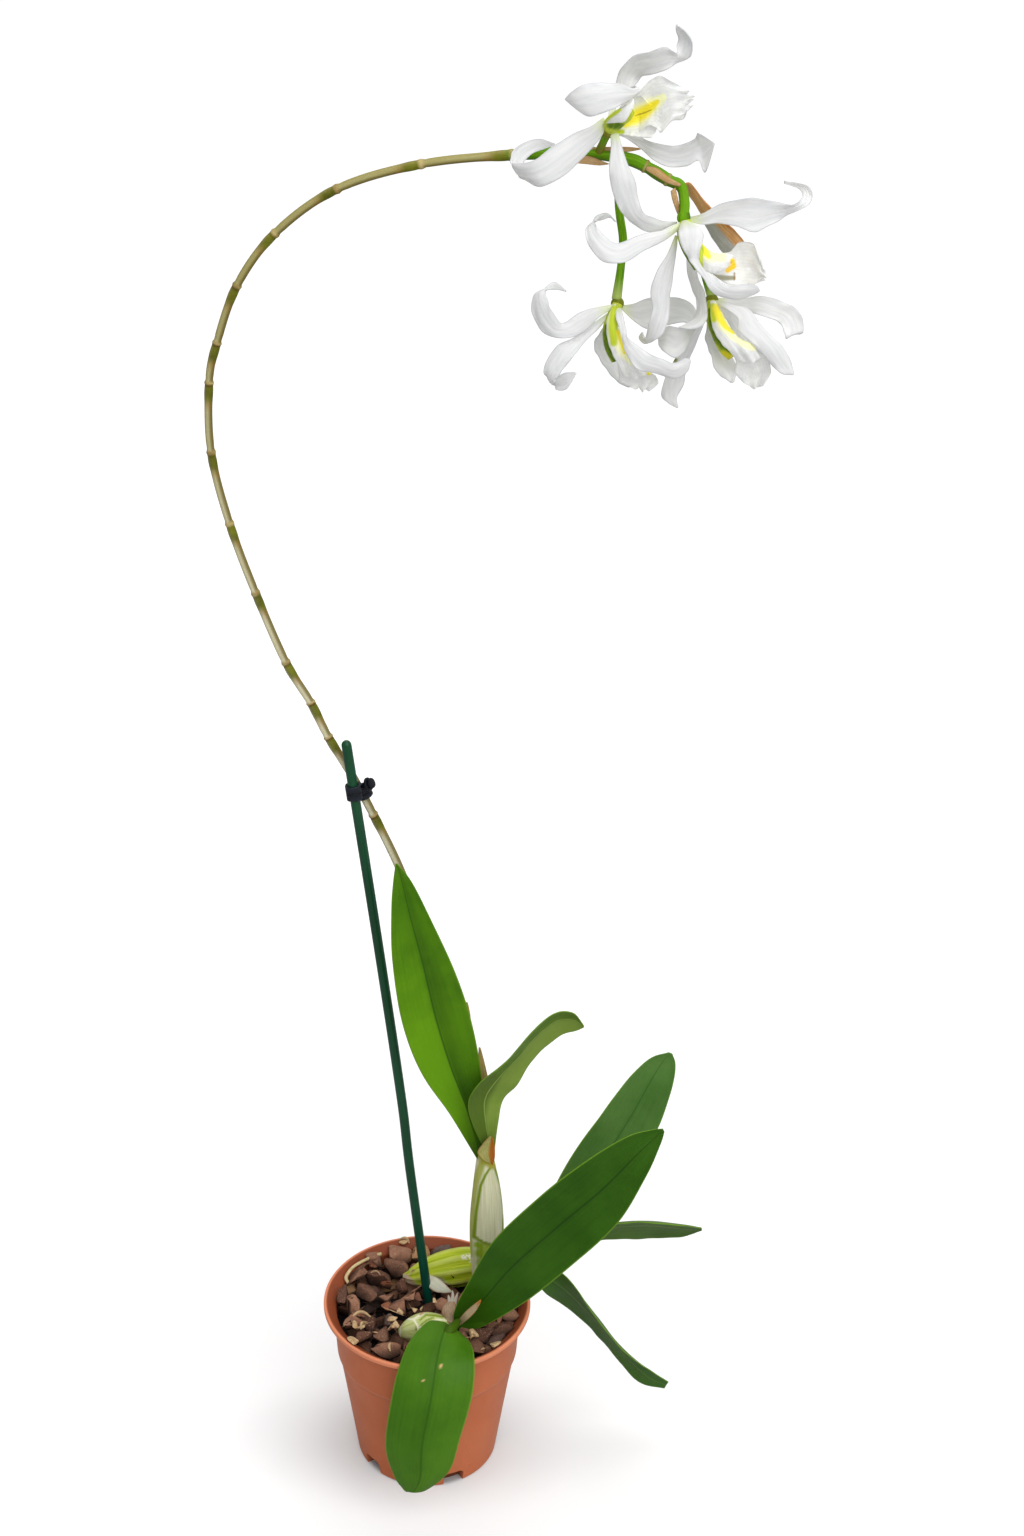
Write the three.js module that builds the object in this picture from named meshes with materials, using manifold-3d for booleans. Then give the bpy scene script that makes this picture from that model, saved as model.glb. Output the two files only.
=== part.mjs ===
// A potted schomburgkia orchid: bark-filled pot, three pseudobulbs with seven leaves, and one
// long arching flower spike, tied to a stake, that carries four white flowers.
// Millimetres, +Z up. The origin is the middle of the pot's underside.
import * as THREE from "three";
import Module from "manifold-3d";

const wasm = await Module();
wasm.setup();

// The plant's routes and outlines are drawn on an upright board through the pot's axis, as
// seen from EYE: a place is [across, up, depth], and depth pushes the place straight away
// from the eye until it lies that far behind the board. Widths grow with it.
const EYE = new THREE.Vector3(0, -997, 901);

// Driving sizes
const GAP = 0.3;
const POT_HEIGHT = 103;
const RIM_RADIUS = 60;
const RIM_DEPTH = 4;
const OPENING_RADIUS = 57.5;
const COLLAR_TOP_RADIUS = 54.5;
const COLLAR_FOOT_RADIUS = 52.5;
const COLLAR_HEIGHT = 28;
const SHOULDER_HEIGHT = 14;
const SHOULDER_RADIUS = 50;
const BASE_RADIUS = 41;
const POT_WALL = 1.7;
const FLOOR_HEIGHT = 8;
const DRAIN_WIDTH = 10;
const DRAIN_HEIGHT = 6;
const DRAIN_ANGLES = [-50, 22, 94, 166, 238];
const MEDIUM_TOP = 96;
const CHUNK_COUNT = 44;
const CHUNK_SIZE = 13;
const ROUND_SIDES = 32;
const STAKE_RADIUS = 2.7;
const STAKE_SUNK = 55;
const SHEATH_RADIUS = 2.3;
const RACHIS_RADIUS = 2.8;
const HUB_RADIUS = 3.2;
const TEPAL_THICKNESS = 0.9;
const LEAF_THICKNESS = 1.3;
const EDGE_THICKNESS = 0.6;

// Places and vectors

const at = (across, up, depth) => {
  const board = new THREE.Vector3(across, 0, up);
  return EYE.clone().addScaledVector(board.sub(EYE), 1 + depth / -EYE.y);
};

const between = (a, b, share) => a.clone().lerp(b, share);

// A smooth curve through points; place 1.5 is halfway from the second point to the third
const curvePoint = (points, place) => {
  const last = points.length - 1;
  const i = Math.min(Math.floor(place), last - 1);
  const t = place - i;
  const p1 = points[i];
  const p2 = points[i + 1];
  const p0 = i > 0 ? points[i - 1] : p1.clone().multiplyScalar(2).sub(p2);
  const p3 = i + 2 <= last ? points[i + 2] : p2.clone().multiplyScalar(2).sub(p1);
  const curve = (a, b, c, d) =>
    0.5 * (2 * b + (c - a) * t + (2 * a - 5 * b + 4 * c - d) * t * t + (3 * b - a - 3 * c + d) * t ** 3);
  return new THREE.Vector3(
    curve(p0.x, p1.x, p2.x, p3.x),
    curve(p0.y, p1.y, p2.y, p3.y),
    curve(p0.z, p1.z, p2.z, p3.z),
  );
};

const valueAt = (values, place) => {
  const i = Math.min(Math.floor(place), values.length - 2);
  return values[i] + (values[i + 1] - values[i]) * (place - i);
};

// Repeatable random draws
const seeded = (seed) => {
  let state = seed;
  return () => {
    state = (state * 1664525 + 1013904223) % 4294967296;
    return state / 4294967296;
  };
};

// Solids

// A closed solid from points and triangles, turned outside out where it has to be
const solid = (points, faces) => {
  let volume = 0;
  for (const [a, b, c] of faces) {
    volume += points[a].dot(points[b].clone().cross(points[c]));
  }
  const outward = volume > 0 ? faces : faces.map(([a, b, c]) => [a, c, b]);
  const mesh = new wasm.Mesh({
    numProp: 3,
    vertProperties: new Float32Array(points.flatMap((p) => [p.x, p.y, p.z])),
    triVerts: new Uint32Array(outward.flat()),
  });
  return new wasm.Manifold(mesh);
};

// Rings of equal length joined side to side, each end closed to its middle
const ringSolid = (rings) => {
  const sides = rings[0].length;
  const points = rings.flat();
  const faces = [];
  for (let i = 0; i + 1 < rings.length; i += 1) {
    for (let j = 0; j < sides; j += 1) {
      const a = i * sides + j;
      const b = i * sides + ((j + 1) % sides);
      faces.push([a, b, b + sides], [a, b + sides, a + sides]);
    }
  }
  for (const end of [0, rings.length - 1]) {
    const middle = new THREE.Vector3();
    rings[end].forEach((p) => middle.addScaledVector(p, 1 / sides));
    points.push(middle);
    for (let j = 0; j < sides; j += 1) {
      const a = end * sides + j;
      const b = end * sides + ((j + 1) % sides);
      faces.push(end === 0 ? [points.length - 1, b, a] : [points.length - 1, a, b]);
    }
  }
  return solid(points, faces);
};

// A profile of [radius, height] turned round the Z axis; it starts and ends on the axis
const revolve = (profile, sides) => {
  const points = [new THREE.Vector3(0, 0, profile[0][1])];
  const faces = [];
  const rings = profile.slice(1, -1);
  for (const [radius, height] of rings) {
    for (let j = 0; j < sides; j += 1) {
      const angle = (2 * Math.PI * j) / sides;
      points.push(new THREE.Vector3(radius * Math.cos(angle), radius * Math.sin(angle), height));
    }
  }
  points.push(new THREE.Vector3(0, 0, profile[profile.length - 1][1]));
  const top = points.length - 1;
  for (let j = 0; j < sides; j += 1) {
    const next = (j + 1) % sides;
    faces.push([0, 1 + next, 1 + j]);
    for (let i = 0; i + 1 < rings.length; i += 1) {
      const a = 1 + i * sides + j;
      const b = 1 + i * sides + next;
      faces.push([a, b, b + sides], [a, b + sides, a + sides]);
    }
    const rim = 1 + (rings.length - 1) * sides;
    faces.push([rim + j, rim + next, top]);
  }
  return solid(points, faces);
};

// A round stalk along places, with a radius at each
const stalk = (places, radii, sides, grow = 0) => {
  let across = new THREE.Vector3(1, 0, 0);
  const rings = places.map((place, i) => {
    const before = places[Math.max(i - 1, 0)];
    const after = places[Math.min(i + 1, places.length - 1)];
    const along = after.clone().sub(before).normalize();
    across = across.addScaledVector(along, -across.dot(along)).normalize();
    if (across.length() < 0.5) across = new THREE.Vector3(0, 1, 0);
    const up = along.clone().cross(across);
    const end = i === 0 ? -1 : i === places.length - 1 ? 1 : 0;
    const middle = place.clone().addScaledVector(along, end * grow);
    const ring = [];
    for (let j = 0; j < sides; j += 1) {
      const angle = (2 * Math.PI * j) / sides;
      const radius = radii[i] + grow;
      ring.push(
        middle
          .clone()
          .addScaledVector(across, radius * Math.cos(angle))
          .addScaledVector(up, radius * Math.sin(angle)),
      );
    }
    return ring;
  });
  return ringSolid(rings);
};

// A stalk drawn on the board: rows of [across, up, depth, radius]
const drawnStalk = (rows, sides, spans = 2, grow = 0) => {
  const route = rows.map(([across, up, depth]) => at(across, up, depth));
  const radii = rows.map((row) => row[3]);
  const places = [];
  const sizes = [];
  for (let i = 0; i <= (rows.length - 1) * spans; i += 1) {
    places.push(curvePoint(route, i / spans));
    sizes.push(valueAt(radii, i / spans));
  }
  return stalk(places, sizes, sides, grow);
};

const ball = (centre, radius, grow = 0) => {
  const turns = [-75, -40, 0, 40, 75];
  const places = turns.map((turn) => {
    const rise = (radius + grow) * Math.sin(THREE.MathUtils.degToRad(turn));
    return centre.clone().add(new THREE.Vector3(0, 0, rise));
  });
  const radii = turns.map((turn) => (radius + grow) * Math.cos(THREE.MathUtils.degToRad(turn)));
  return stalk(places, radii, 8);
};

// A thin blade ruled between two drawn edges: rows of [across, up, depth] for one edge, the
// same for the other, and the bow, which is how far the middle stands off as a share of the
// width. Both faces have the same triangles.
const blade = (rows, look, grow = 0) => {
  const { thickness, bow = 0.08, columns = 2, spans = 2, wave = 0, frill = 0, reach = 0 } = look;
  const first = rows.map((row) => at(row[0], row[1], row[2]));
  const second = rows.map((row) => at(row[3], row[4], row[5]));
  const bows = rows.map((row) => (row.length > 6 ? row[6] : bow));
  const last = (rows.length - 1) * spans;
  const steps = [];
  for (let i = 0; i <= last; i += 1) {
    const a = curvePoint(first, i / spans);
    const b = curvePoint(second, i / spans);
    steps.push({ a, b, middle: between(a, b, 0.5), bow: valueAt(bows, i / spans) });
  }
  const upper = [];
  const lower = [];
  steps.forEach((step, i) => {
    const before = steps[Math.max(i - 1, 0)].middle;
    const after = steps[Math.min(i + 1, last)].middle;
    const along = after.clone().sub(before).normalize();
    const width = step.b.clone().sub(step.a);
    const normal = along.clone().cross(width).normalize();
    const side = width.clone().normalize();
    const end = i === 0 ? -1 : i === last ? 1 : 0;
    const share = i / last;
    for (let j = 0; j <= columns; j += 1) {
      const v = (2 * j) / columns - 1;
      const ripple = wave * Math.sin(19 * share + 2 * v) * v * v * Math.sin(Math.PI * share);
      const ruffle = frill * Math.sin(10 * share + 7 * v) * Math.max(0, 2 * share - 1);
      const arch = step.bow * width.length() * (1 - v * v);
      const onward = reach * (1 - v * v) * Math.max(0, 3 * share - 2);
      const place = between(step.a, step.b, (v + 1) / 2)
        .addScaledVector(normal, arch + ripple + ruffle)
        .addScaledVector(along, onward + end * grow)
        .addScaledVector(side, v * grow);
      const half = (EDGE_THICKNESS + (thickness - EDGE_THICKNESS) * (1 - v * v)) / 2 + grow;
      upper.push(place.clone().addScaledVector(normal, half));
      lower.push(place.clone().addScaledVector(normal, -half));
    }
  });
  const row = columns + 1;
  const under = upper.length;
  const faces = [];
  const wall = (a, b) => faces.push([b, a, a + under], [b, a + under, b + under]);
  for (let i = 0; i < last; i += 1) {
    for (let j = 0; j < columns; j += 1) {
      const a = i * row + j;
      faces.push([a, a + 1, a + row + 1], [a, a + row + 1, a + row]);
      faces.push([a + under, a + row + 1 + under, a + 1 + under]);
      faces.push([a + under, a + row + under, a + row + 1 + under]);
    }
    wall((i + 1) * row, i * row + 0);
    wall(i * row + columns, (i + 1) * row + columns);
  }
  for (let j = 0; j < columns; j += 1) {
    wall(j, j + 1);
    wall(last * row + j + 1, last * row + j);
  }
  return solid([...upper, ...lower], faces);
};

// The largest single body of a solid
const biggest = (body) => {
  const pieces = body.decompose();
  return pieces.reduce((best, piece) => (piece.volume() > best.volume() ? piece : best));
};

// A solid with its neighbours' room taken away
const clearOf = (body, neighbours) => {
  const left = neighbours.reduce((rest, room) => rest.subtract(room), body);
  return biggest(left).simplify(0.08);
};

// Drawn outlines, in board millimetres

const LEAVES = {
  leaf_long_left: [
    [28, 201, 4, 31.5, 203, 4],
    [13.3, 229.5, -4, 31, 237, -2],
    [-3, 257.5, -9, 28.5, 266, -7],
    [-13.5, 290, -13, 23, 295, -9],
    [-18.5, 328, -15, 14.5, 323, -11],
    [-19, 356, -15, 1, 356, -11],
    [-18, 374, -13, -8, 376, -11],
    [-16.5, 387, -12, -15.5, 387, -12],
  ],
  leaf_twisted: [
    [34.5, 203, 3, 37.5, 203, 3],
    [26.5, 221, -6, 39.5, 225, -4],
    [23, 237, -14, 42, 240, -4],
    [28, 250, -22, 49, 249, -4],
    [44.3, 265.2, -26, 56.7, 264.8, -4],
    [56.5, 283, -26, 65.5, 275, -4],
    [68, 295, -22, 74.5, 283, -6],
    [79, 296, -17, 81.5, 285, -9],
    [85.5, 288, -12, 85.5, 287, -12],
  ],
  leaf_back_right: [
    [54, 135, 24, 58, 139, 24],
    [64.5, 162, 26, 84.5, 155, 28],
    [80.5, 201.5, 30, 115, 190, 32],
    [97.7, 231.5, 34, 128.5, 221, 36],
    [111, 254, 38, 135, 246, 38],
    [122.5, 267, 42, 136.5, 262, 42],
    [132.5, 271, 44, 134.5, 270, 44],
  ],
  leaf_front_right: [
    [15.5, 84, -22, 18, 81, -22],
    [16.5, 96, -25, 28, 81, -26],
    [25, 117, -30, 43, 90, -34],
    [38.5, 145, -32, 59.5, 103, -38],
    [64, 175, -32, 85, 129, -40],
    [89, 199, -30, 108.5, 156.3, -38],
    [110.5, 215, -28, 123, 187.5, -34],
    [124.5, 220, -26, 130.5, 210, -28],
    [131.5, 221, -26, 132.5, 219, -26],
  ],
  leaf_edge_on: [
    [56, 138, 22, 57, 135, 22],
    [84.5, 155, 14, 87.5, 142, 24],
    [106.5, 156.2, 6, 107.5, 145.8, 27],
    [127.5, 157, 4, 127.5, 146, 29],
    [148.5, 154.6, 9, 146, 147.6, 23],
    [157, 153.1, 15, 157, 151.7, 17],
  ],
  leaf_drooping_right: [
    [58, 132, 18, 56, 129, 18],
    [77, 122, 8, 67.5, 109, 12],
    [88.5, 107, 0, 77.5, 100, 18],
    [99.8, 87.3, -2, 93.5, 85, 20],
    [111.2, 70.2, 0, 103, 72, 20],
    [124, 57, 4, 115, 55, 18],
    [134.8, 48, 6, 126.8, 41.2, 12],
    [143.2, 41.8, 6, 141, 37, 7],
  ],
  leaf_front_droop: [
    [10, 76, -24, 14, 77, -24],
    [2.5, 87, -31, 20, 77, -33],
    [-9, 74, -46, 26, 69, -48],
    [-16, 55, -58, 28, 54, -62],
    [-21, 30, -68, 26.5, 30, -72],
    [-25, -6, -72, 20, 0, -76],
    [-20.5, -29, -72, 13.2, -27, -76],
    [-15, -40, -72, -1, -42, -74],
    [-13, -43, -73, -11, -43, -73],
  ],
};

const BRACTS = {
  bract_long: [
    [113, 736.5, 21, 115, 735, 20],
    [117, 736, 24, 120, 736.5, 21],
    [120.5, 730.5, 30, 124.5, 731.5, 24],
    [125.5, 723.5, 34, 131.5, 724, 24],
    [128.5, 717, 36, 138, 718.5, 26],
    [133, 710, 36, 143, 714, 28],
    [138, 704.5, 34, 147, 709.5, 30],
    [143.5, 705.5, 33, 147.5, 708.5, 31],
  ],
  bract_under: [
    [111.5, 733, 18, 113.5, 734.5, 17],
    [112.5, 729, 17, 115, 729, 16],
    [114.5, 724, 16, 116, 725, 16],
    [115.5, 722, 15, 116, 722.5, 15],
  ],
  bract_clasp: [
    [99.5, 742.5, 21, 100.5, 744, 21],
    [104.5, 739.5, 19.5, 105, 743, 19.5],
    [110, 736.5, 18.5, 110.5, 739, 18.5],
    [115.5, 735, 17, 116, 736, 17],
  ],
  bract_lower: [
    [70.5, 749, 23, 67.5, 745.5, 22],
    [75, 748, 22, 73, 745, 22],
    [79, 746.5, 22, 78.5, 744.5, 22],
    [83, 745, 22, 83, 745, 22],
  ],
  bract_upper: [
    [75, 752, 24, 75, 751.5, 24],
    [82, 752.5, 24, 82, 751, 24],
    [90.5, 752.5, 25, 90.5, 750.5, 25],
    [96.5, 752, 25, 97, 751.5, 25],
  ],
  leaf_scale: [
    [16.5, 84, -24, 18.5, 82.5, -24],
    [20, 92, -30, 24.5, 87.5, -33],
    [25, 98, -33, 29, 93.5, -36],
    [31, 102.5, -37, 31.5, 101.5, -37],
  ],
  bulb_scale: [
    [-1.5, 122, 20, 7.5, 125, 22],
    [2.5, 114.5, 14, 12.5, 118.5, 17],
    [9.5, 108.5, 9, 17, 111.5, 12],
    [15, 104.5, 6, 18, 105.5, 7],
  ],
};

const FLOWER_1 = {
  dorsal_sepal: [
    [79.5, 765.5, 15, 81, 762, 14],
    [74, 761.5, 10, 78.5, 756.5, 10],
    [66.5, 758.5, 5, 72, 749, 5],
    [57.5, 753, 1, 63, 740.5, 1],
    [48.5, 746.5, 1, 52.5, 735, -1],
    [40.5, 745.5, 7, 46.5, 736.5, 5],
    [38, 747.5, 11, 42.5, 740, 9],
    [39.5, 751.5, 15, 43.5, 745, 13],
    [45.5, 755, 17, 47.5, 749.5, 16],
    [51.5, 756, 17, 52.5, 751.5, 17],
    [58, 754, 16, 58, 753.5, 16],
  ],
  lower_left_sepal: [
    [83, 758.5, 12, 86.5, 758.5, 12],
    [83.5, 752.5, 9, 88.5, 752.5, 9],
    [83, 744, 6, 91, 745.5, 6],
    [84, 736, 4, 95, 737.5, 3],
    [87, 727.5, 4, 96.5, 730.5, 4],
    [91, 721.5, 6, 99, 724, 6],
    [96.5, 717, 9, 102.5, 721.5, 8],
    [104.5, 714.5, 12, 108.5, 719.5, 12],
    [115, 718.5, 15, 115, 719, 15],
  ],
  lower_right_sepal: [
    [83.5, 759, 15, 83, 758, 15],
    [89.5, 758.5, 26, 89, 757, 26],
    [96, 757, 26, 96, 752.5, 26],
    [103, 754.5, 24, 102, 747.5, 24],
    [112, 753, 22, 109.5, 744, 22],
    [118, 754.5, 20, 118, 744, 20],
    [121.5, 756.5, 18, 123.5, 746.5, 20],
    [123, 758.5, 14, 127, 741.5, 24],
    [130, 754.5, 18, 130.5, 754, 18],
  ],
  left_petal: [
    [81, 765, 18, 82.5, 764, 18],
    [87, 770, 25, 88.5, 767.5, 25],
    [91, 778, 22, 92, 775.5, 22],
    [94.5, 779, 13, 95, 777, 12],
    [92, 778, 5, 92.5, 774, 4],
    [85, 780, -2, 86.5, 770.5, -4],
    [76.5, 780.5, -4, 78, 767, -6],
    [70, 779.5, -4, 72.5, 766, -6],
    [65, 776.5, -3, 68, 768.5, -4],
    [62, 773.5, 0, 62.5, 773, 0],
  ],
  upper_petal: [
    [81, 762.5, 16, 82.5, 762.5, 16],
    [83, 772.5, 31, 86.5, 772.5, 31],
    [84.5, 779.5, 31, 92, 778, 31],
    [86.5, 786, 28, 95, 781.5, 34],
    [91.5, 792, 26, 97.5, 783.5, 30],
    [98.5, 793.5, 24, 103.5, 785, 26],
    [106, 795.5, 22, 108.5, 787, 24],
    [111, 793.5, 22, 112.5, 789, 24],
    [111.5, 796, 26, 117.5, 792, 19],
    [111.5, 799.5, 28, 118.5, 797, 20],
    [110.5, 803, 26, 115, 802, 22],
    [110.5, 805.5, 24, 111, 805, 24],
  ],
  lip: [
    [83.5, 765.5, 14, 83, 759, 14, 0.2],
    [88, 769.5, 13, 88, 758, 12, 0.25],
    [92, 773.5, 12, 95, 757, 9, 0.3],
    [96.5, 775, 10, 102, 756.5, 6, 0.3],
  ],
  fan: [
    [92.5, 774, 12.5, 96, 759, 9.5, 0.3],
    [96, 777.5, 11, 100, 762, 8, 0.28],
    [100, 781.5, 9.5, 103.5, 761, 6, 0.16],
    [104.5, 783.5, 8, 106, 759, 4, 0.1],
    [109.5, 781, 7, 110.5, 764, 3, 0.05],
    [114, 779, 6, 115, 765, 2, 0],
    [116.5, 776.5, 5, 117, 768.5, 2, 0],
  ],
};

const FLOWER_2 = {
  right_petal: [
    [120, 721, 12, 121, 719, 11],
    [127, 723, 8, 127, 718, 8],
    [134, 727, 6, 134, 718.5, 6],
    [142, 729, 4, 142.5, 717, 3],
    [149, 730, 4, 151, 714.5, 4],
    [157.5, 728.5, 8, 158, 718, 10],
    [166, 727, 12, 165.5, 721.5, 16],
    [170.5, 728.5, 18, 174.5, 726.5, 18],
    [172, 731, 26, 176.5, 731, 24],
    [170, 734, 32, 173.5, 735.5, 30],
    [163, 736.5, 34, 163, 737.5, 34],
  ],
  left_petal: [
    [116.5, 719, 10, 115.5, 715, 8],
    [109.5, 715.5, 4, 109.5, 710.5, 2],
    [98, 713, 0, 100.5, 706, -4],
    [89, 709.5, -3, 91.5, 700.5, -7],
    [83.5, 711.5, -2, 82, 701, -8],
    [79, 715.5, 2, 75.5, 707.5, -4],
    [77.5, 718, 8, 73, 714, 2],
    [77.5, 719, 16, 75.5, 718, 12],
    [80.5, 720, 22, 78.5, 722, 20],
    [84, 721, 24, 83, 723, 24],
    [87, 719, 22, 86.5, 719.5, 22],
  ],
  lower_left_sepal: [
    [114.5, 713, 12, 115.5, 712.5, 12],
    [111.5, 705, 6, 115.5, 706, 8],
    [106.5, 696, 2, 114.5, 697, 4],
    [104.5, 686.5, 0, 113.5, 687, 2],
    [105.5, 679, 0, 113.5, 679, 0],
    [104, 671.5, 0, 112.5, 671.5, -2],
    [102.5, 665, 4, 109.5, 665.5, -2],
    [101.5, 668, 10, 103, 662.5, 6],
    [100, 666.5, 14, 100, 664.5, 13],
  ],
  front_sepal: [
    [117, 719, 10, 119, 720, 10],
    [116, 714.5, -4, 126.5, 715.5, -4],
    [117.5, 708.5, -8, 127.5, 711, -8],
    [121, 703, -10, 126, 705, -10],
    [124.5, 698, -14, 126.5, 700, -6],
    [129.5, 691, -12, 131.5, 695.5, -8],
    [135, 685.5, -10, 138.5, 690.5, -10],
    [143, 683.5, -8, 146.5, 690, -10],
    [150.5, 685, -6, 153, 690, -8],
    [155, 687, -4, 155, 688, -4],
  ],
  back_sepal: [
    [117, 718.5, 14, 119, 719, 14],
    [120, 705, 26, 123, 706, 26],
    [121, 696, 28, 126, 694, 26],
    [123.5, 688, 26, 129, 688, 24],
    [126, 683, 24, 130.5, 681, 20],
    [126, 678, 20, 131.5, 676, 16],
    [124.5, 674, 16, 130, 672, 12],
    [121, 671.5, 14, 124, 669.5, 10],
    [118, 670.5, 12, 118.5, 670, 12],
  ],
  lip: [
    [126, 700.5, 6, 125.5, 711, 10, 0.3],
    [128.5, 697, 1, 130, 706.5, 8, 0.35],
    [132.5, 695.5, -1, 135, 704.5, 6, 0.3],
    [137, 696.5, 1, 141, 704, 6, 0.25],
    [140, 700.5, 4, 141.5, 703, 7, 0.1],
  ],
  fan: [
    [132.5, 695.5, -1.5, 135, 704.5, 5.5, 0.3],
    [139, 691, 8, 140.5, 705.5, 12, 0],
    [144.5, 690, 11, 144, 709.5, 15, -0.15],
    [149.5, 689.5, 10, 150, 709.5, 14, -0.15],
    [153.5, 690.5, 8, 153, 706, 12, -0.1],
    [156, 693.5, 6, 156, 698.5, 9, 0],
  ],
};

const FLOWER_3 = {
  left_petal: [
    [87, 681, 18, 87.5, 679.5, 18],
    [78.5, 679.5, 14, 80.5, 675, 12],
    [71, 677, 12, 75, 669.5, 10],
    [65.5, 673, 10, 67.5, 665.5, 8],
    [62.5, 672.5, 8, 58, 666, 8],
    [59, 677.5, 6, 52.5, 670, 8],
    [56.5, 682.5, 6, 49.5, 677.5, 10],
    [55, 686.5, 10, 50, 685, 14],
    [56, 687.5, 17, 54.5, 688.5, 18],
    [60.5, 688, 21, 59.5, 691.5, 22],
    [65, 687, 22, 65, 687.5, 22],
  ],
  lower_left_sepal: [
    [86, 678, 20, 87, 677.5, 20],
    [77, 671.5, 16, 81.5, 671, 14],
    [68.5, 665, 12, 74, 663, 10],
    [61, 661.5, 10, 69, 656, 6],
    [56, 653, 8, 64, 650, 4],
    [56, 648.5, 8, 61.5, 645, 4],
    [58, 645, 10, 60.5, 643, 6],
    [61, 646, 4, 62, 640.5, 2],
    [65, 648.5, 0, 66.5, 641, -2],
    [70.5, 649, -2, 71, 648.5, -2],
  ],
  back_sepal: [
    [88, 679, 24, 90, 679, 24],
    [83, 671, 30, 87, 671, 32],
    [79.5, 664, 32, 86, 664, 36],
    [79.5, 658, 32, 87.5, 659, 38],
    [85, 651, 28, 91, 653, 34],
    [90, 644.5, 24, 95.5, 647.5, 30],
    [96, 641.5, 22, 97, 642, 22],
  ],
  front_sepal: [
    [88, 680, 20, 90.5, 680, 20],
    [88.5, 675, 8, 92, 675.5, 8],
    [90.5, 669.5, 4, 93.5, 669.5, 4],
    [92, 663.5, 2, 94.5, 665.5, 2],
    [94, 658, 0, 99.5, 661.5, 0],
    [99.5, 650.5, -2, 105.5, 657.5, -2],
    [107.5, 648.5, -4, 112, 655, -4],
    [116.5, 646, -4, 117.5, 653, -6],
    [123, 649, -2, 122, 655.5, -4],
    [124.5, 654, 0, 124.5, 655, 0],
  ],
  right_petal: [
    [90.5, 680.5, 23, 91, 679, 23],
    [97, 681.5, 30, 98, 672.5, 30],
    [103.5, 684, 34, 104, 669.5, 32],
    [112, 684.5, 38, 111, 671, 36],
    [121, 683, 40, 120.5, 672.5, 32],
    [126.5, 677, 36, 123.5, 670.5, 27],
    [123, 663.5, 22, 121.5, 669.5, 20],
    [118, 656, 16, 116, 670.5, 20],
    [111.5, 659, 18, 112.5, 670.5, 22],
    [109, 662.5, 26, 108.5, 665.5, 27],
  ],
  lip: [
    [87, 681, 17, 88.5, 681, 17, 0.3],
    [84.5, 673.5, 10, 89, 673, 11, 0.4],
    [85, 665, 8, 92, 665, 9, 0.4],
    [88, 657, 6, 94.5, 658.5, 8, 0.35],
    [91, 651.5, 6, 98, 652.5, 8, 0.25],
    [93, 647, 8, 103.5, 649.5, 10, 0.1],
  ],
  fan: [
    [90, 654, 6.5, 96.5, 654.5, 8.5, 0.25],
    [91, 648, 11, 103.5, 649.5, 12, 0.1],
    [91.5, 644.5, 15, 108, 647.5, 15, -0.05],
    [96, 642, 17, 109.5, 644.5, 17, -0.05],
    [100, 641.5, 18, 106.5, 642, 18, 0],
  ],
};

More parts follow.
